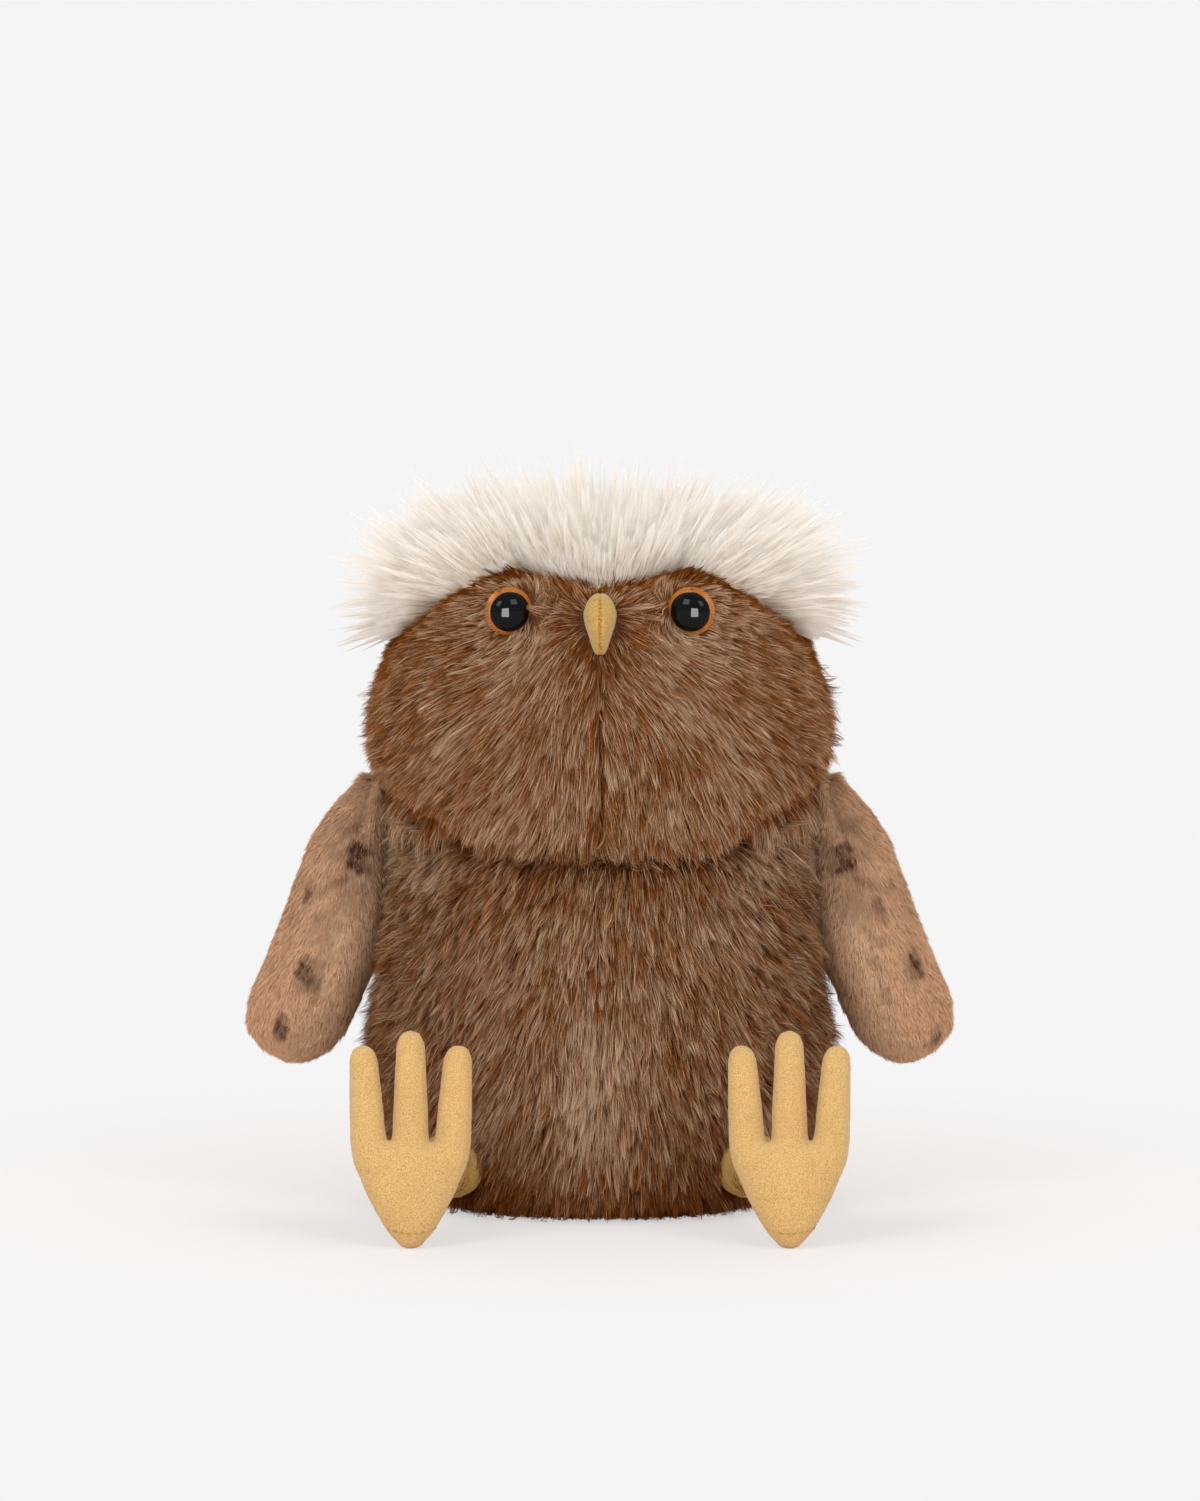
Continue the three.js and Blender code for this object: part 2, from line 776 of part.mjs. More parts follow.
function makeEye(sideName) {
  const irisBase = seamGap;
  const irisTop = irisBase + irisThickness;
  const iris = turned(
    [
      [0, -shankLength],
      [shankRadius, -shankLength],
      [shankRadius, irisBase],
      [eyeRadius, irisBase],
      [eyeRadius, irisBase + irisRimHeight],
      [pupilRadius, irisTop],
      [0, irisTop],
    ],
    eyeSegments,
  );
  const domeBase = irisTop + seamGap;
  const dome = [[0, domeBase]];
  for (let i = 0; i <= domeSteps; i += 1) {
    const angle = (Math.PI / 2) * (i / domeSteps);
    const radius = i === domeSteps ? 0 : pupilRadius * Math.cos(angle);
    dome.push([radius, domeBase + pupilHeight * Math.sin(angle)]);
  }
  const washerTop = -fillingDepth;
  const washerFoot = washerTop - washerThickness;
  const washerBore = shankRadius + seamGap;
  const washer = turned(
    [
      [washerBore, washerFoot],
      [washerRadius, washerFoot],
      [washerRadius, washerTop],
      [washerBore, washerTop],
      [washerBore, washerFoot],
    ],
    eyeSegments,
  );
  return [
    node(`eye_${sideName}_iris`, solidOf(iris), amber, shiny),
    node(`eye_${sideName}_pupil`, solidOf(turned(dome, eyeSegments)), gloss, shiny),
    node(`eye_${sideName}_washer`, solidOf(washer), washerWhite, soft),
  ];
}

function makeBeak() {
  const formAt = (depth) => {
    const form = loft(
      beakShares.map(([length, width, bulge]) => ({
        y: -beakSeatDepth,
        z: beakTipHeight + depth + length * (beakLength - 2 * depth),
        halfWidth: width * (beakHalfWidth - depth),
        front: bulge * (beakBulge - depth),
        back: beakRoot,
      })),
      beakSegments,
    );
    return solidOf(form).subtract(headAt(-seamGap - depth));
  };
  const cloth = formAt(0).subtract(formAt(beakSuede));
  const panels = [leftSide, rightSide].map((side) => {
    const half = cloth.intersect(beyond('x', (side * seamGap) / 2, side));
    return node(`beak_${sideNames.get(side)}_panel`, half, beakGold, fur);
  });
  return [...panels, node('beak_filling', formAt(beakSuede + beakFillingGap), fibreWhite, soft)];
}

const owl = new THREE.Group();
owl.add(makeBody(), makeHead());
for (const side of [leftSide, rightSide]) {
  const foot = makeFoot(side);
  owl.add(makeWing(side), makeLeg(side, foot), foot);
}

export default owl;
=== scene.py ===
import json
import math

import bmesh
import bpy
import numpy as np
from bpy.props import FloatProperty, FloatVectorProperty, IntProperty, PointerProperty
from mathutils import Matrix, Vector, kdtree
from mathutils.bvhtree import BVHTree


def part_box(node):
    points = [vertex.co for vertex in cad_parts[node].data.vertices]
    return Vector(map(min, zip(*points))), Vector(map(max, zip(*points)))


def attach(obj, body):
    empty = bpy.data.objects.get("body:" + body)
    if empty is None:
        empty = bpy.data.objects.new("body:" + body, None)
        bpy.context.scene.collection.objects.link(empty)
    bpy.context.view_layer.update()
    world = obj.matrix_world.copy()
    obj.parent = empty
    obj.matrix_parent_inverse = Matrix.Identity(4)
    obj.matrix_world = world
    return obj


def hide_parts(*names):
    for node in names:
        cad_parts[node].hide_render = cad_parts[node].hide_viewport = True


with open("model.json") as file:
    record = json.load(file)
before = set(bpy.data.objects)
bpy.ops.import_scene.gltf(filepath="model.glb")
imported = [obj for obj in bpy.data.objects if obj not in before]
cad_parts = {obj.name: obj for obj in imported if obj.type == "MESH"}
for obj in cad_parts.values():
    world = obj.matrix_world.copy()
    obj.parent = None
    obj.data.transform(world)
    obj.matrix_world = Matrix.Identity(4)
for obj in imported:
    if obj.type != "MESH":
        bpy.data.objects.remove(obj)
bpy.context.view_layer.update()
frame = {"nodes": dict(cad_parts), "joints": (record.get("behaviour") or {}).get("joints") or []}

bl_info = {
    "name": "Plush owl",
    "version": (1, 0, 0),
    "blender": (4, 5, 0),
    "location": "3D View > Sidebar > Plush owl",
    "description": "Sews, stuffs and brushes a plush owl round its packed solids",
    "category": "Add Mesh",
}

MM = 0.001
FAR = 1000  # millimetres, for a point that a seam doesn't reach
SIDES = (("left", 1), ("right", -1))
BODY_PANELS = [f"body_{end}_{side}_panel" for end in ("front", "back") for side, _ in SIDES]
HEAD_PANELS = [f"{part}_{side}_panel" for part in ("face", "head_back") for side, _ in SIDES]
PALETTE = "OFBake"  # the strands' map: across is how pale a strand is, up is how far along it a point lies


def both(pattern):
    """A name for the left side and the same for the right."""
    return [pattern.format(side) for side, _ in SIDES]


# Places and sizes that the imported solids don't name, in millimetres and degrees
EYE_SPACING = 57.2
EYE_DEPTH = 61.5
EYE_HEIGHT = 193.2
EYE_INWARD = 14
EYE_UPWARD = -3
EYE_RADIUS = 7.6
PUPIL_RADIUS = 6.3
FOOT_HALF_SPACING = 58.6
FOOT_DEPTH = 104.6
FOOT_LEAN = 12
WEB_LOW = 12
WEB_HIGH = 40
HEEL_HEIGHTS = (0, 2, 6, 11.5, 17, 25, 33)
HEEL_SHARES = (0.78, 0.8, 0.88, 0.92, 0.95, 0.94, 1)
HEEL_SEAM_RADIUS = 15.5
HEEL_SEAM_HEIGHT = 19.5
HEEL_SEAM_START = 205
HEEL_SEAM_TURN = 110
HEEL_STITCHES = 15
BEAK_STITCHES = 16
STITCH_LENGTH = 1.5
SIDE_SEAM = 8
BELLY_SEAM_START = 12
FACE_SEAM_TOP = 180
FOLD_ACROSS = (37, 48, 68)
FOLD_HEIGHTS = (116, 126, 134)
DART_SPACING = 86
DART_LOW = 122
DART_HIGH = 142
CREST_HEART = (0, 0, 182)
BROW_HEART = (0, 0, 175)
WING_CREASE_END = 66
LEG_SHOWN = 56  # only this far in front of the owl's middle is a leg seen
STRAND_SUNK = 0.4  # how deep in the cloth a strand starts
FLOOR_ROOM = 0.3  # how far the pile stays off the floor
PRESS_REACH = 14  # a neighbour this near presses the brown pile flat
PRESS_BARE = 0.8  # nearer than this, no brown pile grows under it
CREST_BARE = 1.2  # nor the crest's pile this near to the face
FUR_CLOTH = 1.5
WING_CLOTH = 1.2
FOOT_SUEDE = 0.8
BEAK_SUEDE = 0.6
SWELL = 22  # the size of the slow swells in the brown pile's tone
PALE_SHARE = 0.35  # share of the strands that have the paler of a pile's two shades
OCHRE = "#b98642"  # the dark specks and tufts of suede

# How much paler or darker than the rest each place of the brown pile is, and how much longer or shorter
# Of the body's tones, low, chin and sides are painted shade: at the base by the floor, under the chin and
# where the body turns from the light. shoulder is painted light.
BODY_TONES = {
    "all": -0.06, "middle": 0.7, "shoulder": 0.4, "low": -0.8, "chin": -0.2, "sides": -0.15, "swell": 0.1
}
# Of the head's tones, those where the pile parts, at the neck and at the sides are painted shade, and flap is
# painted light on the flaps under the folds.
HEAD_TONES = {
    "all": -0.1, "eye_ring": 0.28, "brow": -0.55, "parting_shade": -0.3, "beak": -0.1, "swell": 0.1, "flap": 0.42,
    "neck": -0.12, "sides": -0.17,
}
HEAD_LENGTHS = {"all": 1, "flap": 0.25, "brow": -0.45, "eyes": -0.45, "beak": -0.4, "neck": -0.7}

# The wings' spots: how far outward, towards the front and down from the hinge, how big and how dark
FRONT_SPOTS = {
    -1: (
        (-1, 18, 17, 4.2, 0.9),
        (10, 14, 34, 2.2, 0.6),
        (-2, 20, 29, 4.5, 0.32),
        (4, 19, 44, 3.5, 0.2),
        (5, 20, 57, 3.2, 0.85),
        (8, 15, 75, 3.2, 0.88),
    ),
    1: (
        (-1, 19, 18, 4.2, 0.9),
        (5, 19, 36, 2.6, 0.5),
        (-2, 21, 31, 4.5, 0.3),
        (10.5, 15, 57, 3.2, 0.85),
        (12, 9, 79, 3.2, 0.85),
    ),
}
BACK_SPOTS = (
    (10, -7, 24, 4.2, 0.85),
    (14, -8, 45, 4, 0.85),
    (14, -6, 64, 4, 0.85),
    (9, -14, 33, 3.8, 0.85),
    (11, -15, 55, 3.8, 0.85),
)

# Each light: its place, its width and height in metres, and its share of the key light's power
LIGHTS = {
    "left_softbox": ((-1.0, -1.4, 1.15), 0.8, 0.8, 1.2),
    "right_softbox": ((1.0, -1.4, 1.15), 0.8, 0.8, 1),
    "back_softbox": ((0, 1.3, 1.5), 1.2, 0.6, 0.7),
    "bright_card": ((0, -0.5, 0.0), 0.22, 0.5, 0.9),
}
LIGHTS_AIM = (0, 0, 0.12)


def linear(code):
    """An sRGB hex colour as linear red, green, blue and alpha."""
    shares = [int(code[i : i + 2], 16) / 255 for i in (1, 3, 5)]
    return (*[s / 12.92 if s <= 0.04045 else ((s + 0.055) / 1.055) ** 2.4 for s in shares], 1)


def length_property(name, description, default):
    return FloatProperty(name=name, description=description, default=default, min=0, unit="LENGTH")


def density_property(name, default):
    return FloatProperty(name=name, description="On each square millimetre", default=default, min=0)


def colour_property(name, description, code):
    return FloatVectorProperty(
        name=name, description=description, default=linear(code), size=4, min=0, max=1, subtype="COLOR"
    )


class OwlPile(bpy.types.PropertyGroup):
    face_length: length_property("Face pile", "Length of the strands on the head", 0.01)
    body_length: length_property("Body pile", "Length of the strands on the body", 0.0105)
    crest_length: length_property("Crest pile", "Longest of the crest's even strands", 0.022)
    wisp_length: length_property("Crest wisps", "How far a loose lock stands out of the crest", 0.013)
    nap_length: length_property("Suede nap", "Length of the tufts on feet and beak", 0.0009)
    wing_length: length_property("Wing pile", "Length of the strands on wings and legs", 0.0036)
    strand_width: length_property("Strand width", "Width of a long strand at its root", 0.00022)
    brown_density: density_property("Brown pile density", 4.1)
    crest_density: density_property("Crest density", 8.0)
    wing_density: density_property("Wing pile density", 8.0)
    nap_density: density_property("Suede nap density", 9.0)
    seed: IntProperty(name="Seed", description="Starts the random draws", default=7, min=0)


class OwlColours(bpy.types.PropertyGroup):
    fur_rust: colour_property("Rust", "Dark strands of the brown pile", "#8a4a0a")
    fur_beige: colour_property("Beige", "Pale strands of the brown pile", "#d8be9c")
    crest_cream: colour_property("Cream", "Pale strands of the crest", "#fffefb")
    crest_warm: colour_property("Warm cream", "Darker strands of the crest", "#f4e8d8")
    wing_tan: colour_property("Wing tan", "Outer panel of a wing", "#e6bb94")
    wing_spot: colour_property("Wing spot", "Spots on the outer panel", "#4f3022")
    wing_plain: colour_property("Wing inner", "Inner panel of a wing", "#e8c29c")
    foot_suede: colour_property("Foot suede", "Feet", "#d4b070")
    beak_suede: colour_property("Beak suede", "Beak", "#b99a52")
    stitch: colour_property("Stitching", "Thread down the beak", "#c9781f")
    eye_amber: colour_property("Amber", "Disc of an eye", "#a9630d")
    eye_black: colour_property("Black", "Dome of an eye", "#060708")
    floor: colour_property("Floor", "Floor and backdrop", "#f5f5f5")


class OwlStage(bpy.types.PropertyGroup):
    camera_distance: length_property("Camera distance", "From the owl's middle", 8)
    camera_lens: FloatProperty(
        name="Lens", description="Focal length", default=613.8, subtype="DISTANCE_CAMERA"
    )
    camera_rise: FloatProperty(
        name="Camera rise", description="Above the horizon", default=math.radians(7.5), subtype="ANGLE"
    )
    aim_height: length_property("Aim height", "Height that the camera looks at", 0.1413)
    key_power: FloatProperty(name="Key light", description="Of a soft light, in watts", default=11, min=0)
    world_strength: FloatProperty(name="Room light", description="Light from all round", default=0.7, min=0)


def settings():
    scene = bpy.context.scene
    return scene.owl_pile, scene.owl_colours, scene.owl_stage


def random_draws(number):
    """A seeded source of random numbers for one piece."""
    pile, _, _ = settings()
    return np.random.default_rng([pile.seed, number])


def bell(values, width, power=2):
    """1 where a value is zero, and falling off evenly to both sides over a width."""
    return np.exp(-((values / width) ** power))


def slope(values, start, end):
    """0 up to the start, 1 from the end on, and even in between. The end may lie below the start."""
    return np.clip((values - start) / (end - start), 0, 1)


def weigh(weights, places):
    """The sum of how far each strand lies in each named place, times the place's weight."""
    return sum(weight * places[name] for name, weight in weights.items())


def only(kept, *arrays):
    return [values[kept] for values in arrays]


def add_node(tree, kind, feeds=None, **values):
    """Adds a shader node with its settings. Each socket gets a plain value or a link from another socket."""
    node = tree.nodes.new("ShaderNode" + kind)
    for name, value in values.items():
        setattr(node, name, value)
    for name, value in (feeds or {}).items():
        if isinstance(value, bpy.types.NodeSocket):
            tree.links.new(value, node.inputs[name])
        else:
            node.inputs[name].default_value = value
    return node


def own_place(tree):
    return add_node(tree, "TexCoord").outputs["Object"]


def add_ramp(tree, share, *stops):
    """A colour that follows a share through stops, each a place and a colour."""
    node = add_node(tree, "ValToRGB", {0: share})
    elements = node.color_ramp.elements
    while len(elements) < len(stops):
        elements.new(0.5)
    for element, (place, colour) in zip(elements, stops):
        element.position = place
        element.color = colour
    return node.outputs[0]


def add_noise(tree, place, size, detail, roughness=0.5):
    """Noise with lumps of about this size."""
    feeds = {"Vector": place, "Scale": 1 / size, "Detail": detail, "Roughness": roughness}
    return add_node(tree, "TexNoise", feeds).outputs[0]


def add_mix(tree, share, first, second, blend="MIX"):
    feeds = {0: share, 6: first, 7: second}
    return add_node(tree, "Mix", feeds, data_type="RGBA", blend_type=blend).outputs[2]


def add_bump(tree, height, depth, strength):
    return add_node(tree, "Bump", {"Height": height, "Distance": depth, "Strength": strength}).outputs[0]


def mix_shaders(tree, share, first, second):
    return add_node(tree, "MixShader", {0: share, 1: first.outputs[0], 2: second.outputs[0]})


def new_material(name):
    """An empty material and its node tree."""
    material = bpy.data.materials.new(name)
    material.use_nodes = True
    material.node_tree.nodes.clear()
    return material, material.node_tree


def finish_material(tree, shader):
    add_node(tree, "OutputMaterial", {"Surface": shader.outputs[0]})


def add_surface(tree, colour, roughness, gloss=0.5, **more):
    """The material's surface. Names in more stand for sockets, with underlines for spaces."""
    feeds = {"Base Color": colour, "Roughness": roughness, "Specular IOR Level": gloss}
    feeds.update({name.replace("_", " "): value for name, value in more.items()})
    finish_material(tree, add_node(tree, "BsdfPrincipled", feeds))


def shade(colour, factor):
    """A colour made darker or paler by a factor."""
    return (*[min(1, c * factor) for c in colour[:3]], 1)


def blend_colours(a, b, share):
    return (*[(1 - share) * x + share * y for x, y in zip(a[:3], b[:3])], 1)


def lot(colour, root, middle):
    """A dye lot's three colours: its tip, and how much darker it is at the root and halfway."""
    return shade(colour, root), shade(colour, middle), colour


def pile_material(name, dark, pale, gloss, sheer=0):
    """Polyester faux-fur pile, brushed. Each strand is dark where it leaves the cloth and pale at its tip,
    and strands of two dye lots lie side by side, which gives streaks. Each lot is its colours at the root,
    halfway and at the tip. Sheer is the share of the light that shines through a strand."""
    material, tree = new_material(name)
    place = add_node(tree, "UVMap", uv_map=PALETTE).outputs[0]
    axes = add_node(tree, "SeparateXYZ", {0: place}).outputs
    lots = [add_ramp(tree, axes["Y"], *zip((0, 0.45, 1), colours)) for colours in (dark, pale)]
    mixed = add_mix(tree, axes["X"], *lots)
    feeds = {"Base Color": mixed, "Roughness": 0.62, "Specular IOR Level": gloss}
    shader = add_node(tree, "BsdfPrincipled", feeds)
    if sheer:
        shader = mix_shaders(tree, sheer, shader, add_node(tree, "BsdfTranslucent", {"Color": mixed}))
    finish_material(tree, shader)
    return material


def backing_material(name, colour):
    """Warp-knitted polyester backing cloth, matte, with the fine loops of its stitches. It shows only where
    the pile parts."""
    material, tree = new_material(name)
    loop_pitch = 0.9 * MM
    feeds = {"Vector": own_place(tree), "Scale": 1 / loop_pitch}
    loops = add_node(tree, "TexVoronoi", feeds).outputs["Distance"]
    knit = add_ramp(tree, loops, (0, shade(colour, 0.75)), (0.6, colour))
    add_surface(tree, knit, 0.95, 0.1, Normal=add_bump(tree, loops, 0.2 * MM, 0.5))
    return material


def suede_material(name, colour, grain):
    """Microsuede, a sanded polyester knit. Its nap is short and stands in tiny tufts that catch the light one
    by one, so it reads as fine gold and ochre specks with a soft bloom at the edges."""
    material, tree = new_material(name)
    place = own_place(tree)
    patch_size = 14 * MM
    tufts = add_noise(tree, place, grain, 3, 0.7)
    drift = add_noise(tree, place, patch_size, 2)
    ochre = linear(OCHRE)
    dark = blend_colours(shade(colour, 0.7), ochre, 0.6)
    specks = add_ramp(
        tree, tufts, (0.36, dark), (0.48, blend_colours(colour, ochre, 0.1)), (0.62, shade(colour, 1.2))
    )
    level = add_ramp(tree, drift, (0.3, (0.86, 0.84, 0.8, 1)), (0.7, (1, 1, 1, 1)))
    patches = add_mix(tree, 0.35, specks, level, "MULTIPLY")
    bump = add_bump(tree, tufts, 0.35 * MM, 0.7)
    add_surface(tree, patches, 0.9, 0.15, Normal=bump, Sheen_Weight=0.35, Sheen_Roughness=0.5)
    return material


def thread_material(name, colour):
    """Spun polyester sewing thread, twisted. The twist breaks its highlight into short dashes."""
    material, tree = new_material(name)
    twist_length = 4 * MM
    feeds = {"Vector": own_place(tree), "Scale": 1 / twist_length, "Distortion": 1}
    twist = add_node(tree, "TexWave", feeds, bands_direction="DIAGONAL").outputs[0]
    add_surface(tree, add_ramp(tree, twist, (0, shade(colour, 0.7)), (1, colour)), 0.6, 0.3)
    return material


def moulded_material(name, colour, roughness, gloss, mottle):
    """Injection-moulded plastic, polished in the mould. The colour lies a little unevenly in the melt, and
    the polish gives a sharp highlight."""
    material, tree = new_material(name)
    melt_size = 3 * MM
    melt = add_noise(tree, own_place(tree), melt_size, 2)
    mixed = add_ramp(tree, melt, (0.3, shade(colour, 1 - mottle)), (0.7, shade(colour, 1 + mottle)))
    add_surface(tree, mixed, roughness, gloss, IOR=1.49)
    return material


def wadding_material(name):
    """Hollow polyester fibrefill, carded. It is white and springy, and its fibres scatter light so evenly
    that only its lumps show."""
    material, tree = new_material(name)
    lump_size = 2.5 * MM
    fibres = add_noise(tree, own_place(tree), lump_size, 5, 0.75)
    white = add_ramp(tree, fibres, (0.3, linear("#dedad0")), (0.65, linear("#f7f5f0")))
    add_surface(tree, white, 1, Normal=add_bump(tree, fibres, 1 * MM, 0.8), Sheen_Weight=0.4)
    return material


def calico_material(name):
    """Plain-woven cotton calico, unbleached. Its threads cross every 0.6 mm."""
    material, tree = new_material(name)
    thread_pitch = 0.6 * MM
    bands_in_a_unit = 0.31  # of the wave texture at scale 1, over half of pi
    feeds = {"Vector": own_place(tree), "Scale": bands_in_a_unit / thread_pitch / 2, "Distortion": 0.4}
    waves = [add_node(tree, "TexWave", feeds, bands_direction=axis).outputs[1] for axis in ("X", "Z")]
    weave = add_node(tree, "Math", {0: waves[0], 1: waves[1]}, operation="MAXIMUM").outputs[0]
    threads = add_ramp(tree, weave, (0.2, linear("#a79f8c")), (0.9, linear("#d6cfc0")))
    add_surface(tree, threads, 0.9, Normal=add_bump(tree, weave, 0.15 * MM, 0.6))
    return material


def get_material(name, make, *values):
    """A material by its name, made the first time."""
    return bpy.data.materials.get(name) or make(name, *values)


def brown_pile():
    _, colours, _ = settings()
    rust, beige = colours.fur_rust, colours.fur_beige
    pale = (shade(rust, 0.6), blend_colours(rust, beige, 0.5), beige)
    return get_material("brushed_brown_faux_fur", pile_material, lot(rust, 0.27, 0.64), pale, 0)


def brow_pile():
    _, colours, _ = settings()
    rust = colours.fur_rust
    dark, pale = lot(shade(rust, 0.5), 0.5, 0.8), lot(rust, 0.3, 0.75)
    return get_material("brushed_rust_faux_fur", pile_material, dark, pale, 0.02)


def brown_backing():
    return get_material("brown_knitted_backing", backing_material, linear("#5a3720"))


def place_piece(obj, material, body, slot, replaced=()):
    """Gives a piece its material and the body that it moves with, and hides the parts that it replaces. Its
    slot is not used.
    """
    obj.data.materials.clear()
    obj.data.materials.append(material)
    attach(obj, body)
    if replaced:
        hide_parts(*replaced)


def shade_smooth(mesh):
    mesh.polygons.foreach_set("use_smooth", np.ones(len(mesh.polygons), bool))
    mesh.update()


def object_from(name, mesh):
    """A smooth-shaded object in the scene."""
    shade_smooth(mesh)
    obj = bpy.data.objects.new(name, mesh)
    bpy.context.scene.collection.objects.link(obj)
    return obj


def object_of(name, shape):
    """An object made of a bmesh, which ends with it."""
    mesh = bpy.data.meshes.new(name)
    shape.to_mesh(mesh)
    shape.free()
    return object_from(name, mesh)


def shape_of(*meshes):
    """A bmesh that holds copies of these meshes."""
    shape = bmesh.new()
    for mesh in meshes:
        shape.from_mesh(mesh)
    return shape


def modify(obj, kind, **values):
    """Runs one modifier on a piece and keeps its result as the piece's mesh."""
    modifier = obj.modifiers.new(kind, kind)
    for name, value in values.items():
        setattr(modifier, name, value)
    graph = bpy.context.evaluated_depsgraph_get()
    done = bpy.data.meshes.new_from_object(obj.evaluated_get(graph))
    obj.modifiers.clear()
    obj.data = done


def vertex_arrays(mesh):
    """A mesh's points and their normals."""
    points = np.empty(len(mesh.vertices) * 3)
    normals = np.empty(len(mesh.vertices) * 3)
    mesh.vertices.foreach_get("co", points)
    mesh.vertices.foreach_get("normal", normals)
    return points.reshape(-1, 3), normals.reshape(-1, 3)


def move_points(mesh, points):
    mesh.vertices.foreach_set("co", points.ravel())
    mesh.update()


def keep_largest(obj):
    """Removes the small bubbles that a remesh can leave inside a form."""
    shape = shape_of(obj.data)
    left = set(shape.verts)
    islands = []
    while left:
        island, edge = set(), [next(iter(left))]
        while edge:
            vertex = edge.pop()
            if vertex in island:
                continue
            island.add(vertex)
            edge.extend(e.other_vert(vertex) for e in vertex.link_edges)
        left -= island
        islands.append(island)
    islands.sort(key=len, reverse=True)
    for island in islands[1:]:
        bmesh.ops.delete(shape, geom=list(island), context="VERTS")
    shape.to_mesh(obj.data)
    shape.free()


def stuffed_form(name, nodes, voxel, smoothing, swell=0):
    """The nodes' solids as one closed, softly rounded form. Swell gives back what smoothing takes off. Both
    it and the voxel are in millimetres."""
    obj = object_of(name, shape_of(*[frame["nodes"][node].data for node in nodes]))
    modify(obj, "REMESH", mode="VOXEL", voxel_size=voxel * MM)
    keep_largest(obj)
    modify(obj, "SMOOTH", factor=0.5, iterations=smoothing)
    points, normals = vertex_arrays(obj.data)
    move_points(obj.data, points + normals * (swell * MM))
    shade_smooth(obj.data)
    return obj


def set_down(obj):
    """Flattens what lies below the floor."""
    points, _ = vertex_arrays(obj.data)
    points[:, 2] = np.maximum(points[:, 2], 0)
    move_points(obj.data, points)


def pull_seam(obj, distance_to_seam, depth, spread):
    """Draws a form in along a seam, as a sewn edge does. All lengths here are in millimetres, also those that
    distance_to_seam takes and gives."""
    points, normals = vertex_arrays(obj.data)
    dip = depth * MM * bell(distance_to_seam(points / MM), spread)
    move_points(obj.data, points - normals * dip[:, None])


def node_tree_of(node):
    """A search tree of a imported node, which may already be hidden."""
    shape = shape_of(frame["nodes"][node].data)
    tree = BVHTree.FromBMesh(shape)
    shape.free()
    return tree


def node_trees_of(nodes):
    return [node_tree_of(node) for node in nodes]


def cut_panels(form, panels):
    """Cuts a form into panels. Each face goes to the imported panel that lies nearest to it."""
    trees = {node: node_tree_of(node) for node in panels}
    owners = []
    for polygon in form.data.polygons:
        found = {node: tree.find_nearest(polygon.center)[3] for node, tree in trees.items()}
        owners.append(min(found, key=found.get))
    pieces = {}
    for node in panels:
        shape = shape_of(form.data)
        shape.faces.ensure_lookup_table()
        others = [shape.faces[i] for i, owner in enumerate(owners) if owner != node]
        bmesh.ops.delete(shape, geom=others, context="FACES")
        pieces[node] = object_of(node + "_cloth", shape)
    return pieces


def split_at(form, name, point, normal):
    """The half of a form that lies on the far side of a plane, with the cut left open."""
    shape = shape_of(form.data)
    geometry = [*shape.verts, *shape.edges, *shape.faces]
    bmesh.ops.bisect_plane(
        shape, geom=geometry, dist=1e-7, plane_co=point, plane_no=normal, clear_inner=True
    )
    return object_of(name, shape)


def thicken(obj, thickness):
    """Gives a panel the thickness of its cloth, inward and in millimetres."""
    modify(obj, "SOLIDIFY", thickness=thickness * MM, offset=-1)


def units(vectors):
    return vectors / np.maximum(np.linalg.norm(vectors, axis=-1, keepdims=True), 1e-9)


def along_surface(directions, normals):
    """Directions with their part out of the surface taken away."""
    return units(directions - normals * np.sum(directions * normals, axis=1, keepdims=True))


def plant(obj, per_square_mm, draws):
    """Roots spread evenly over a surface: their points and the surface's normals there."""
    mesh = obj.data
    mesh.calc_loop_triangles()
    corners = np.empty(len(mesh.loop_triangles) * 3, np.int64)
    mesh.loop_triangles.foreach_get("vertices", corners)
    corners = corners.reshape(-1, 3)
    points, normals = vertex_arrays(mesh)
    a, b, c = (points[corners[:, i]] for i in range(3))
    areas = np.linalg.norm(np.cross(b - a, c - a), axis=1) / 2
    count = int(areas.sum() / MM**2 * per_square_mm)
    picked = draws.choice(len(areas), size=count, p=areas / areas.sum())
    first, second = draws.random((2, count, 1))
    folded = first + second > 1
    first, second = np.where(folded, 1 - first, first), np.where(folded, 1 - second, second)
    shares = (1 - first - second, first, second)
    chosen = corners[picked]
    roots, facing = (sum(w * v[chosen[:, i]] for i, w in enumerate(shares)) for v in (points, normals))
    return roots, units(facing)


def distance_to(points, trees, limit):
    """Each point's distance to the nearest of some surfaces, up to a limit."""
    nearest = np.full(len(points), limit)
    for i, point in enumerate(points):
        for tree in trees:
            found = tree.find_nearest(Vector(point), limit)
            if found[3] is not None and found[3] < nearest[i]:
                nearest[i] = found[3]
    return nearest


def drift_noise(points, scale, draws):
    """Slow random swells over a surface, between about -1 and 1, of a scale in the points' own unit."""
    waves = 5
    total = np.zeros(len(points))
    for _ in range(waves):
        wave = units(draws.normal(size=3)) * 2 * math.pi / (scale * draws.uniform(0.7, 1.5))
        total += np.sin(points @ wave + draws.uniform(0, 2 * math.pi))
    return total / (waves / 2)


def nearest_guides(roots, guides):
    """For each root, the number of the guide strand that it gathers towards."""
    tree = kdtree.KDTree(len(guides))
    for order, guide in enumerate(guides):
        tree.insert(Vector(roots[guide]), order)
    tree.balance()
    return np.array([guides[tree.find(Vector(root))[1]] for root in roots])


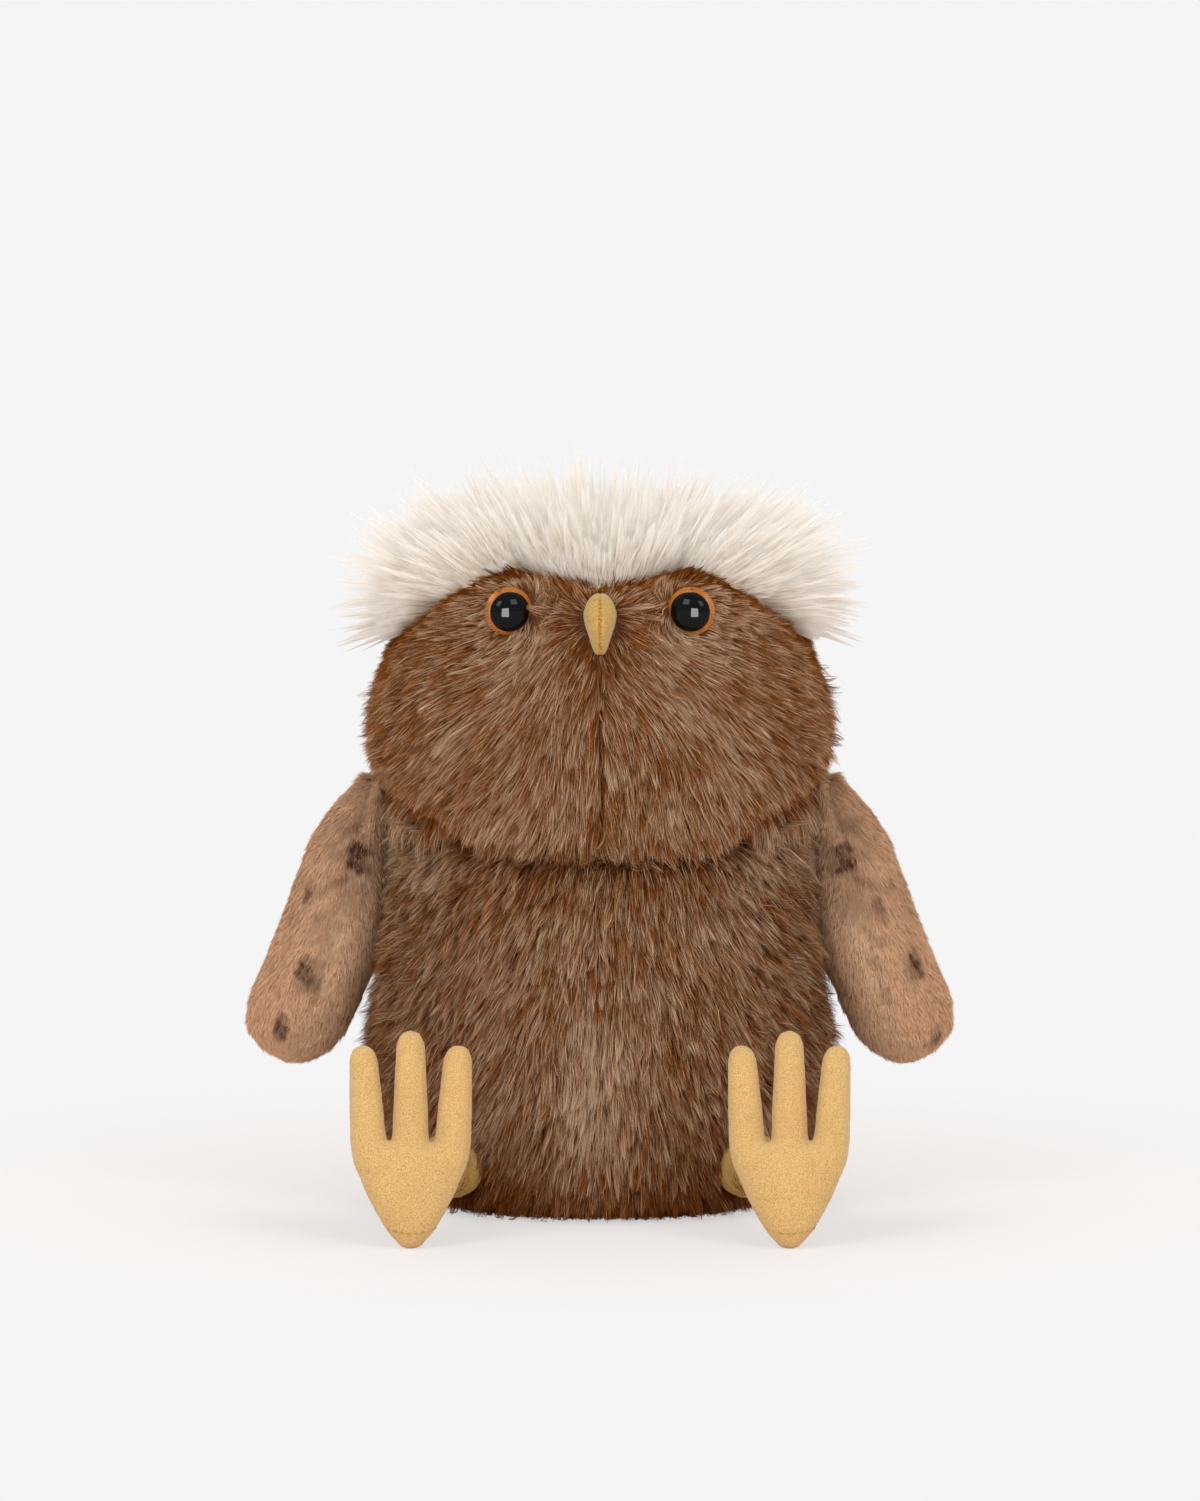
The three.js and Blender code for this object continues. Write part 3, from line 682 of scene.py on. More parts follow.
def ribbon_mesh(name, lines, sides, widths, tones, shares):
    """Tapered ribbons. lines holds each strand's points from root to tip, and the last one is its tip."""
    count, rows = lines.shape[0], lines.shape[1] - 1
    corners = 2 * rows + 1
    points = np.empty((count, corners, 3))
    half = sides * (widths[:, :-1, None] / 2)
    points[:, 0:-1:2] = lines[:, :-1] - half
    points[:, 1:-1:2] = lines[:, :-1] + half
    points[:, -1] = lines[:, -1]
    loops = []
    for low in range(0, 2 * rows - 2, 2):
        loops += [low, low + 1, low + 3, low + 2]
    loops += [corners - 3, corners - 2, corners - 1]
    sizes = [4] * (rows - 1) + [3]
    all_loops = (np.arange(count)[:, None] * corners + np.array(loops)).ravel()
    all_sizes = np.tile(sizes, count)
    mesh = bpy.data.meshes.new(name)
    mesh.vertices.add(count * corners)
    mesh.vertices.foreach_set("co", points.ravel())
    mesh.loops.add(len(all_loops))
    mesh.loops.foreach_set("vertex_index", all_loops.astype(np.int32))
    mesh.polygons.add(len(all_sizes))
    starts = np.concatenate([[0], np.cumsum(all_sizes)[:-1]])
    mesh.polygons.foreach_set("loop_start", starts.astype(np.int32))
    tone_width = 0.004
    across = np.repeat(tones[:, None], corners, axis=1)
    across[:, 0:-1:2] -= tone_width
    across[:, 1:-1:2] += tone_width
    up = np.tile([*np.repeat(shares[:-1], 2), shares[-1]], (count, 1))
    places = np.stack([across, 0.01 + 0.98 * up], axis=-1).reshape(-1, 2)
    layer = mesh.uv_layers.new(name=PALETTE)
    layer.data.foreach_set("uv", np.clip(places[all_loops], 0.002, 0.998).ravel())
    mesh.update(calc_edges=True)
    return object_from(name, mesh)


class Pile:
    """How a pile is brushed. It has a length and a width in metres, a lift, which is the share of its length
    that a strand stands up by, and these usual values, of which a call names those that differ."""

    droop = 0.55  # how much of its rise a strand loses towards its tip
    uneven = 0.18  # spread of the lengths
    uneven_lift = 0.25  # spread of the lift
    scatter = 0.14  # spread of the headings, in radians
    side_lift = 0  # added lift where the cloth faces sideways
    wave = 0.015  # how far a strand sways, as a share of its length
    lock_size = 11  # strands in a lock
    lock_pull = 0.4  # how far a lock's tips come together
    lock_point = 1.8  # how late along the strands they do
    wisp_share = 0.1  # share of the locks that stand out loosely
    wisp_length = 3 * MM  # how much longer those are
    roll = 0.5  # spread of the ribbons' turn about themselves, in radians
    facing = None  # where the ribbons face, when not straight out of the cloth
    steps = 3  # pieces in a strand
    tone = 0.45  # how pale the pile is, from 0 to 1
    lock_tone = 0.22  # spread of the locks' tones
    strand_tone = 0.32  # how far apart the two shades of the strands are
    swell_size = 30 * MM  # of the slow turns in the headings
    swell_turn = 0.16  # how far those go, in radians
    length_limits = (0.45, 1.6)  # of a strand, as shares of the pile's length
    lift_limits = (0.3, 1.8)  # as shares of the pile's lift
    tone_limits = (0.03, 0.99)
    gather_reach = 0.6  # how far from a lock's middle it takes strands in, as a share of their length
    loose_pull = 0.88  # the least pull of a loose lock, whose tips come all but together
    loose_point = 1.3  # and they do so early

    def __init__(self, length, width, lift, **changes):
        self.length = length
        self.width = width
        self.lift = lift
        for name, value in changes.items():
            setattr(self, name, value)


def brush(name, look, roots, normals, headings, pile, draws, lengths=1, room=None, tone_shift=0, parts=1):
    """Grows pile on its roots and deals it into parts, so that none is too large a mesh. look is the pile's
    material, body and slot, headings is the way each strand is brushed, lengths scales a strand's length,
    room is the free space over its root, and tone_shift makes it darker or paler."""
    count = len(roots)
    across = np.cross(normals, headings)
    turn = pile.scatter * draws.normal(size=count)
    turn += pile.swell_turn * drift_noise(roots, pile.swell_size, draws)
    run = headings * np.cos(turn)[:, None] + across * np.sin(turn)[:, None]
    across = np.cross(normals, run)
    guides = draws.choice(count, size=max(1, count // pile.lock_size), replace=False)
    guide = nearest_guides(roots, guides)

    def spread():
        """Random values of unit spread. The strands of a lock share the larger part of theirs."""
        return 0.6 * draws.normal(size=count) + 0.8 * draws.normal(size=count)[guide]

    size = pile.length * np.clip(1 + pile.uneven * spread(), *pile.length_limits) * lengths
    loose = (draws.random(count) < pile.wisp_share)[guide]
    size += loose * pile.wisp_length * draws.uniform(0.3, 1.1, count)[guide]
    lift = pile.lift + pile.side_lift * normals[:, 0] ** 2
    lift = lift * np.clip(1 + pile.uneven_lift * spread(), *pile.lift_limits)
    if room is not None:
        lift = np.minimum(lift, 1.1 * room / np.maximum(size, 1e-6))
    angle = np.arcsin(np.clip(lift, 0.02, 0.999))
    shares = np.linspace(0, 1, pile.steps + 1)
    rise = np.sin(angle)[:, None] * (shares - 0.5 * pile.droop * shares**2)
    forward = np.cos(angle)[:, None] * shares
    phase = draws.uniform(0, 2 * math.pi, (count, 1))
    sway = pile.wave * np.sin(2 * math.pi * shares * draws.uniform(0.5, 1.1, (count, 1)) + phase)
    sway = (sway - sway[:, :1]) * shares
    sunk = roots - normals * (STRAND_SUNK * MM)
    lines = sunk[:, None, :] + size[:, None, None] * (
        run[:, None, :] * forward[..., None]
        + normals[:, None, :] * rise[..., None]
        + across[:, None, :] * sway[..., None]
    )
    pull = pile.lock_pull * draws.uniform(0.5, 1.3, count)
    pull = np.where(loose, draws.uniform(pile.loose_pull, 1, count), pull).clip(0, 1)
    close = np.linalg.norm(roots - roots[guide], axis=1) < pile.gather_reach * size
    point = np.where(loose, pile.loose_point, pile.lock_point)
    gather = (pull * close)[:, None] * shares ** point[:, None]
    lines += (lines[guide] - lines) * gather[..., None]
    lines[..., 2] = np.maximum(lines[..., 2], FLOOR_ROOM * MM)
    roll = draws.normal(size=(count, 1)) * pile.roll
    ways = units(lines[:, -1] - lines[:, 0])
    facing = along_surface(normals if pile.facing is None else pile.facing, ways)
    facing = facing * np.cos(roll) + np.cross(ways, facing) * np.sin(roll)
    sides = units(np.cross(np.diff(lines, axis=1), facing[:, None, :]))
    widths = pile.width * draws.uniform(0.7, 1.3, (count, 1)) * (1 - 0.8 * shares**2)
    paler = draws.random(count) < PALE_SHARE
    shades = 2 * (paler - PALE_SHARE) + 0.5 * draws.normal(size=count)
    tones = pile.tone + pile.strand_tone * shades
    tones += pile.lock_tone * draws.normal(size=count)[guide]
    tones = np.clip(tones + tone_shift, *pile.tone_limits)
    for part in range(parts):
        dealt = [values[part::parts] for values in (lines, sides, widths, tones)]
        label = name if parts == 1 else f"{name}_{part + 1}"
        place_piece(ribbon_mesh(label, *dealt, shares), *look)


def eye_matrix(side):
    """Where an eye sits. Its own +Z is the way it looks, and zero is the cloth under it."""
    up = math.radians(90 - EYE_UPWARD)
    inward = math.radians(-side * EYE_INWARD)
    place = Vector((side * EYE_SPACING / 2, -EYE_DEPTH, EYE_HEIGHT)) * MM
    return Matrix.Translation(place) @ Matrix.Rotation(inward, 4, "Z") @ Matrix.Rotation(up, 4, "X")


def from_eyes(points):
    """Each point's way from either eye."""
    return [points - np.array(eye_matrix(side).translation) for _, side in SIDES]


def beak_root():
    """The point behind the beak that the face's pile runs away from."""
    low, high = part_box("beak_filling")
    return np.array([0, high.y, low.z + 0.6 * (high.z - low.z)])


def from_fold(places):
    """How far above the fold under each cheek a point of the head lies, in millimetres. There the head's seam
    draws the face in, and what lies under the fold hangs like the shoulder."""
    x, y, z = places.T
    line = np.interp(np.abs(x), FOLD_ACROSS, FOLD_HEIGHTS)
    return np.where((np.abs(x) > FOLD_ACROSS[0]) & (y < 0), 0.8 * (z - line), FAR)


def from_darts(places):
    """Distance in millimetres to the short dart in each cheek, which gathers the face to the chin's seam."""
    x, y, z = places.T
    along = z - np.clip(z, DART_LOW, DART_HIGH)
    across = np.abs(x) - (DART_SPACING / 2 + 0.15 * (z - DART_LOW))
    return np.where(y < 0, np.hypot(along, across), FAR)


def comb_face(points, normals):
    """Face pile runs away from the beak, round the eyes, and more and more down towards the back."""
    x, y, z = points.T / MM
    wanted = units(points - beak_root())
    wanted[:, 2] -= 0.18 + 0.7 * slope(y, -30, 30)
    parting = bell(x, 6) * (y < 0) * (z < FACE_SEAM_TOP)
    wanted[:, 0] += 0.3 * np.sign(x) * parting
    headings = along_surface(wanted, normals)
    headings = np.where(from_fold(points / MM)[:, None] < 0, comb_body(points, normals), headings)
    for outward in from_eyes(points):
        near = slope(np.linalg.norm(outward, axis=1), 20 * MM, 12 * MM)
        outward = along_surface(outward, normals)
        towards = np.minimum(np.sum(headings * outward, axis=1) - 0.15, 0)
        headings = along_surface(headings - outward * (towards * near)[:, None], normals)
    return headings


def comb_body(points, normals):
    """Body pile runs down, and outward in front."""
    x, y, _ = points.T / MM
    front = np.abs(np.clip(-y / 50, -0.2, 1))
    parting = np.sign(x) * bell(x, 5)
    outward = 0.6 * x / 65 * front + 0.08 * parting
    backward = 0.25 * np.clip(y / 50, -0.3, 0.3)
    wanted = np.stack([outward, backward, -np.ones(len(x))], axis=1)
    return along_surface(wanted, normals)


def brown_panel(node, cloth, comb, pile, number, clear, spare, crowding, dress):
    """One panel's pile. No strand grows within a spare distance of the surfaces in clear. Those in crowding
    press the pile flat, and dress gives each root's tone and length."""
    draws = random_draws(number)
    roots, normals = plant(cloth, settings()[0].brown_density, draws)
    roots, normals = only(distance_to(roots, clear, 3 * MM) > spare * MM, roots, normals)
    room = distance_to(roots, crowding, PRESS_REACH * MM)
    roots, normals, room = only(room > PRESS_BARE * MM, roots, normals, room)
    headings = comb(roots, normals)
    shift, lengths = dress(roots)
    look = (brown_pile(), "torso", "brown_fur")
    brush(node.replace("_panel", "_pile"), look, roots, normals, headings, pile, draws, lengths, room, shift)


class OWL_OT_body(bpy.types.Operator):
    """Sews the body's four panels and its base, and brushes their pile"""

    bl_idname = "owl.body"
    bl_label = "Body"

    def execute(self, context):
        pile, _, _ = settings()
        cloths = [*BODY_PANELS, "base_panel"]
        form = stuffed_form("body_form", [*cloths, "body_filling", "pellet_pouch"], voxel=2.2, smoothing=8)
        set_down(form)
        pull_seam(form, lambda p: np.where(p[:, 2] > BELLY_SEAM_START, p[:, 0], FAR), 0.9, 3)
        pull_seam(form, lambda p: p[:, 1] - SIDE_SEAM, 0.8, 3)
        pieces = cut_panels(form, cloths)
        wings = [f"wing_{side}_{part}_panel" for side, _ in SIDES for part in ("outer", "inner")]
        crowding = node_trees_of(wings)
        clear = node_trees_of(both("leg_{}_sleeve"))
        long_pile = Pile(
            pile.body_length, pile.strand_width, 0.5, droop=0.28, side_lift=0.3, wisp_share=0.16,
            wisp_length=4 * MM,
        )
        for number, node in enumerate(BODY_PANELS):
            brown_panel(
                node, pieces[node], comb_body, long_pile, 10 + number, clear, 1.6, crowding, self.dress
            )
        for node, cloth in pieces.items():
            thicken(cloth, FUR_CLOTH)
            place_piece(cloth, brown_backing(), "torso", "brown_fur", [node])
        bpy.data.objects.remove(form)
        return {"FINISHED"}

    def dress(self, roots):
        """Painted shade under the chin, at the base and at the sides, painted light at the shoulders, and
        paler down the belly's middle.
        """
        x, y, z = roots.T / MM
        low = bell(z, 18)
        places = {
            "all": 1,
            "middle": bell(x + 3, 8) * bell(z - 46, 24) * (y < 0),
            "shoulder": slope(z, 104, 110) * slope(np.abs(x), 40, 48),
            "low": low,
            "chin": bell(z - 116, 9) * bell(x, 40, 6),
            "sides": slope(np.abs(x), 45, 65),
            "swell": drift_noise(roots, SWELL * MM, random_draws(18)),
        }
        return weigh(BODY_TONES, places), 1 - 0.15 * low


class OWL_OT_head(bpy.types.Operator):
    """Sews the head's panels and brushes the face, the back of the head and the crest"""

    bl_idname = "owl.head"
    bl_label = "Head and crest"

    def execute(self, context):
        pile, colours, _ = settings()
        nodes = [*HEAD_PANELS, "head_filling", *both("eye_{}_washer")]
        form = stuffed_form("head_form", nodes, voxel=2.2, smoothing=6)
        pull_seam(form, lambda p: np.where(p[:, 2] < FACE_SEAM_TOP, p[:, 0], FAR), 0.8, 1.6)
        pull_seam(form, from_darts, 0.8, 2)
        pull_seam(form, from_fold, 1.5, 2.5)
        pieces = cut_panels(form, [*HEAD_PANELS, "crest_panel"])
        self.neck = node_trees_of(BODY_PANELS)
        self.brow = node_trees_of(["crest_panel"])
        crowding = self.neck + node_trees_of(both("wing_{}_outer_panel"))
        clear = node_trees_of(both("eye_{}_iris") + both("beak_{}_panel"))
        long_pile = Pile(pile.face_length, pile.strand_width, 0.46, side_lift=0.2, wisp_share=0.12)
        for number, node in enumerate(HEAD_PANELS):
            brown_panel(
                node, pieces[node], comb_face, long_pile, 20 + number, clear, 0.35, crowding, self.dress
            )
        for number, (side, _) in enumerate(SIDES):
            self.brush_brow(pieces[f"face_{side}_panel"], side, 34 + number)
        between = blend_colours(colours.crest_warm, colours.crest_cream, 0.6)
        warm = (shade(colours.crest_warm, 0.88), shade(colours.crest_warm, 0.94), between)
        cream = (shade(colours.crest_warm, 0.95), between, colours.crest_cream)
        crest_pile = get_material("brushed_cream_faux_fur", pile_material, warm, cream, 0.1, 0.4)
        self.brush_crest(pieces["crest_panel"], (crest_pile, "torso", "cream_pile"))
        cream_backing = get_material("cream_knitted_backing", backing_material, linear("#f4e6cf"))
        for node, cloth in pieces.items():
            thicken(cloth, FUR_CLOTH)
            crest = node == "crest_panel"
            slot = "cream_pile" if crest else "brown_fur"
            place_piece(cloth, cream_backing if crest else brown_backing(), "torso", slot, [node])
        bpy.data.objects.remove(form)
        return {"FINISHED"}

    def dress(self, roots):
        """Rust and short along the brow, short round the eyes and the beak. Painted shade lies where the pile
        parts, under the beak, at the darts and in the folds, and also at the neck and the sides. The flaps
        under the folds are full, and painted light makes them pale."""
        x, y, _ = roots.T / MM
        fold = from_fold(roots / MM)
        flap = slope(fold, 0, -3)
        brow = bell(distance_to(roots, self.brow, 8 * MM), 2.6 * MM)
        eyes = np.max([slope(np.linalg.norm(w, axis=1), 18 * MM, 9 * MM) for w in from_eyes(roots)], axis=0)
        from_beak = np.linalg.norm((roots - beak_root()) * [1, 0.3, 0.7], axis=1)
        places = {
            "all": 1,
            "eyes": eyes,
            "eye_ring": eyes * (1 - brow),
            "brow": brow,
            "parting_shade": 0.7 * bell(x, 1.2) * (y < 0) + 0.6 * bell(from_darts(roots / MM), 2)
            + 0.7 * bell(fold - 1, 2),
            "beak": slope(from_beak, 20 * MM, 6 * MM),
            "swell": drift_noise(roots, SWELL * MM, random_draws(37)),
            "flap": flap,
            "neck": bell(distance_to(roots, self.neck, 15 * MM), 7 * MM) * (1 - flap),
            "sides": slope(np.abs(x), 36, 56) * (1 - flap),
        }
        lengths = weigh(HEAD_LENGTHS, places) * (1 - 0.45 * bell(fold - 3, 3))
        return weigh(HEAD_TONES, places), np.maximum(lengths, 0.35)

    def brush_crest(self, cloth, look):
        """The crest's long pile stands up and out from the crown in pointed locks."""
        pile, _, _ = settings()
        draws = random_draws(30)
        roots, normals = plant(cloth, pile.crest_density, draws)
        edge = distance_to(roots, node_trees_of(both("face_{}_panel")), 10 * MM)
        roots, normals, edge = only(edge > CREST_BARE * MM, roots, normals, edge)
        spread = (roots - np.array(CREST_HEART) * MM) * [1, 0.25, 1]
        x, y, z = roots.T / MM
        low_side = slope(z, 200, 180) * slope(np.abs(x), 35, 60)
        spread[:, 2] -= 0.05 * low_side
        wanted = units(units(spread) + 0.5 * normals)
        reach = self.way_out(roots, wanted).clip(5 * MM, pile.crest_length)
        long_pile = Pile(
            pile.crest_length,
            0.85 * pile.strand_width,
            np.clip(np.sum(wanted * normals, axis=1), 0.2, 1),
            droop=0.02,
            uneven=0.08,
            uneven_lift=0.03,
            scatter=0.13,
            wave=0.02,
            lock_pull=0.2,
            lock_point=3,
            wisp_share=0.12,
            wisp_length=pile.wisp_length,
            facing=np.stack([6 * x * MM, np.where(y < -10, -1, 1), 0 * x], axis=1),
            steps=4,
            tone=0.7,
            lock_tone=0.08,
            strand_tone=0.12,
            swell_size=50 * MM,
            swell_turn=0.1,
        )
        headings = along_surface(wanted, normals)
        lengths = reach / pile.crest_length * (1 - 0.25 * bell(edge, 4 * MM))
        shift = 0.12 * drift_noise(roots, 30 * MM, draws)
        brush("crest_pile", look, roots, normals, headings, long_pile, draws, lengths, None, shift, 2)

    def way_out(self, roots, directions):
        """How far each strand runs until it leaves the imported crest, which the bulk of the pile fills."""
        outside = 60 * MM
        ways = np.zeros(len(roots))
        for i, (root, direction) in enumerate(zip(roots, directions)):
            found = self.brow[0].ray_cast(Vector(root + direction * outside), Vector(-direction))
            if found[3] is not None:
                ways[i] = outside - found[3]
        return ways

    def brush_brow(self, cloth, side, number):
        """A narrow line of rust strands along the brow seam, which lie over the first cream ones. Over the
        beak they are fewer and longer."""
        pile, _, _ = settings()
        draws = random_draws(number)
        roots, normals = plant(cloth, 2.5 * pile.brown_density, draws)
        roots, normals = only(distance_to(roots, self.brow, 2 * MM) < 1.5 * MM, roots, normals)
        middle = bell(roots[:, 0], 13 * MM, 4)
        kept = draws.random(len(roots)) < 1 - 0.93 * middle
        roots, normals, middle = only(kept, roots, normals, middle)
        headings = along_surface((roots - np.array(BROW_HEART) * MM) * [1, 0, 1], normals)
        line = Pile(4 * MM, pile.strand_width, 0.45, droop=0.4, tone=0.25, lock_tone=0.1, strand_tone=0.25)
        look = (brow_pile(), "torso", "brown_fur")
        brush(f"brow_{side}_pile", look, roots, normals, headings, line, draws, 1 + 0.7 * middle)


def join_rings(shape, rings):
    """Faces between each ring of points and the next. A ring of one point closes the end."""
    for low, high in zip(rings, rings[1:]):
        for i in range(max(len(low), len(high))):
            corners = [low[i % len(low)], low[(i + 1) % len(low)]]
            corners += [high[(i + 1) % len(high)], high[i % len(high)]]
            unique = list(dict.fromkeys(corners))
            if len(unique) > 2:
                shape.faces.new(unique)


def lathe(name, profile, matrix):
    """A turned solid from a profile of radius and height in millimetres, placed by a matrix."""
    segments = 64
    shape = bmesh.new()
    rings = []
    for radius, height in profile:
        ring = []
        for i in range(segments if radius > 0 else 1):
            angle = 2 * math.pi * i / segments
            place = Vector((radius * math.cos(angle), radius * math.sin(angle), height)) * MM
            ring.append(shape.verts.new(matrix @ place))
        rings.append(ring)
    join_rings(shape, rings)
    bmesh.ops.recalc_face_normals(shape, faces=shape.faces)
    return object_of(name, shape)


def arc_profile(centre, radius, start, end, steps):
    """Points of a profile along an arc, from one angle to another in degrees."""
    angles = [math.radians(start + (end - start) * i / steps) for i in range(steps + 1)]
    return [(centre[0] + radius[0] * math.cos(a), centre[1] + radius[1] * math.sin(a)) for a in angles]


class OWL_OT_eyes(bpy.types.Operator):
    """Fits the two safety eyes, each a disc, a dome and a lock washer"""

    bl_idname = "owl.eyes"
    bl_label = "Eyes"

    def execute(self, context):
        _, colours, _ = settings()
        amber = get_material("moulded_amber_plastic", moulded_material, colours.eye_amber, 0.22, 0.35, 0.12)
        black = get_material("polished_black_acrylic", moulded_material, colours.eye_black, 0.04, 0.14, 0.3)
        nylon = get_material("moulded_white_nylon", moulded_material, linear("#e6e4de"), 0.45, 0.5, 0.04)
        disc = [(0, -7.3), (2.0, -7.3), (2.2, -7.1), (2.2, 0.3), (EYE_RADIUS - 0.4, 0.3)]
        disc += arc_profile((EYE_RADIUS - 0.5, 0.8), (0.5, 0.5), -70, 70, 6)
        disc += [(PUPIL_RADIUS + 0.25, 1.75), (PUPIL_RADIUS - 0.1, 1.98), (0, 2.0)]
        dome = [(0, 2.3), (PUPIL_RADIUS - 0.15, 2.3), (PUPIL_RADIUS, 2.42)]
        dome += arc_profile((0, 2.5), (PUPIL_RADIUS, 3.5), 4, 90, 20)
        dome[-1] = (0, 6.0)
        washer = [(2.5, -4.8), (6.4, -4.8), (6.6, -4.6), (6.6, -3.5), (6.4, -3.3), (2.5, -3.3), (2.5, -4.8)]
        parts = (
            ("iris", disc, amber, "amber_eye"),
            ("pupil", dome, black, "black_eye"),
            ("washer", washer, nylon, "eye_washer"),
        )
        for side, sign in SIDES:
            for part, profile, material, slot in parts:
                piece = lathe(f"eye_{side}_{part}_piece", profile, eye_matrix(sign))
                place_piece(piece, material, "torso", slot, [f"eye_{side}_{part}"])
        return {"FINISHED"}


def nap_lots(colour):
    """The dark and the pale tufts of a suede."""
    dark = blend_colours(shade(colour, 0.6), linear(OCHRE), 0.5)
    return lot(dark, 0.7, 0.9), lot(shade(colour, 1.25), 0.7, 0.9)


def brush_nap(piece, name, look, number):
    """The suede's nap: short tufts that stand off the cloth and blur its edge."""
    pile, _, _ = settings()
    draws = random_draws(number)
    roots, normals = plant(piece, pile.nap_density, draws)
    headings = along_surface(np.tile([0.2, -0.2, -1], (len(roots), 1)), normals)
    tufts = Pile(
        pile.nap_length, 1.1 * pile.strand_width, 0.55, scatter=1.2, steps=2, lock_size=4, wisp_share=0,
        tone=0.5, strand_tone=0.3,
    )
    brush(name, look, roots, normals, headings, tufts, draws)


def stitch_row(name, places, radius, look):
    """Short stitches of thread. places holds each stitch's middle on the cloth, its direction and the way out
    of the cloth. Each is a small arch that dips into the cloth at both ends."""
    points = 6  # along a stitch, and round it
    shape = bmesh.new()
    for middle, direction, outward in places:
        direction = (direction - outward * direction.dot(outward)).normalized()
        side = direction.cross(outward).normalized()
        rings = []
        for i in range(points):
            share = i / (points - 1) * 2 - 1
            centre = middle + direction * (share * STITCH_LENGTH * MM / 2)
            centre += outward * (radius * MM * (1.1 - 1.9 * share * share))
            ring = []
            for j in range(points):
                angle = 2 * math.pi * j / points
                round_about = (side * math.cos(angle) + outward * math.sin(angle)) * radius * MM
                ring.append(shape.verts.new(centre + round_about))
            rings.append(ring)
        join_rings(shape, rings)
        shape.faces.new(rings[0][::-1])
        shape.faces.new(rings[-1])
    bmesh.ops.recalc_face_normals(shape, faces=shape.faces)
    place_piece(object_of(name, shape), *look)


class OWL_OT_beak(bpy.types.Operator):
    """Sews the beak's two suede panels and the stitches between them"""

    bl_idname = "owl.beak"
    bl_label = "Beak"

    def execute(self, context):
        _, colours, _ = settings()
        suede = get_material("beak_microsuede", suede_material, colours.beak_suede, 0.55 * MM)
        nap = get_material("beak_microsuede_nap", pile_material, *nap_lots(colours.beak_suede), 0.05)
        thread = get_material("spun_orange_thread", thread_material, colours.stitch)
        nodes = [*both("beak_{}_panel"), "beak_filling"]
        form = stuffed_form("beak_form", nodes, voxel=0.45, smoothing=9, swell=0.15)
        pull_seam(form, lambda p: p[:, 0], 0.3, 0.5)
        places = self.seam_stitches(form)
        for side, sign in SIDES:
            piece = split_at(form, f"beak_{side}_suede", (0, 0, 0), (sign, 0, 0))
            brush_nap(piece, f"beak_{side}_nap", (nap, "torso", "beak_suede"), 44 + (sign > 0))
            thicken(piece, BEAK_SUEDE)
            place_piece(piece, suede, "torso", "beak_suede", [f"beak_{side}_panel"])
        stitch_row("beak_stitches", places, 0.24, (thread, "torso", "beak_suede"))
        bpy.data.objects.remove(form)
        return {"FINISHED"}

    def seam_stitches(self, form):
        """Slanting stitches down the beak's middle seam, a little uneven as hand sewing is."""
        low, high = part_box("beak_left_panel")
        surface = BVHTree.FromObject(form, bpy.context.evaluated_depsgraph_get())
        draws = random_draws(40)
        places = []
        for i in range(BEAK_STITCHES):
            height = low.z + (high.z - low.z) * (0.07 + 0.83 * i / (BEAK_STITCHES - 1))
            start = Vector((draws.normal() * 0.08 * MM, low.y - 0.01, height))
            place, outward, _, _ = surface.ray_cast(start, Vector((0, 1, 0)))
            if place is not None:
                lean = 0.5 if i % 2 else -0.5
                places.append((place, Vector((1, 0, lean + 0.2 * draws.normal())), outward))
        return places


def wing_matrix(sign):
    """A wing's own frame. Zero is its hinge, and the wing hangs along -Z."""
    side = "left" if sign > 0 else "right"
    joint = next(j for j in frame["joints"] if j["name"] == f"wing_{side}_seam")
    hinge = Vector(joint["pos_m"])
    low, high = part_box(f"wing_{side}_filling")
    tip = Vector((high.x if sign > 0 else low.x, hinge.y, low.z))
    splay = math.atan2(abs(tip.x - hinge.x) - 0.012, hinge.z - tip.z)
    return Matrix.Translation(hinge) @ Matrix.Rotation(-sign * splay, 4, "Y")


def moved(points, matrix):
    return points @ np.array(matrix.to_3x3()).T + np.array(matrix.translation)


def in_wing(points, matrix, sign):
    """Points in the wing's own frame: how far outward, towards the front and down from the hinge."""
    return moved(points, matrix.inverted()) * [sign, -1, -1]


def round_wing(form, sign):
    """Fills the wing's lower end out to a broad curve, and tucks its top in under the head's pile."""
    matrix = wing_matrix(sign)
    points, _ = vertex_arrays(form.data)
    local = in_wing(points, matrix, sign)
    outward, _, down = local.T / MM
    high = np.clip((22 - down) / 22, 0, 1.3)
    widened = 1.8 * slope(down, 30, 70) ** 2 + 0.26 * slope(down, 62, 82) * (outward - 10)
    local[:, 0] += (widened - 1.2 * high) * MM
    local[:, 1] -= 3 * high * MM
    move_points(form.data, moved(local * [sign, -1, -1], matrix))


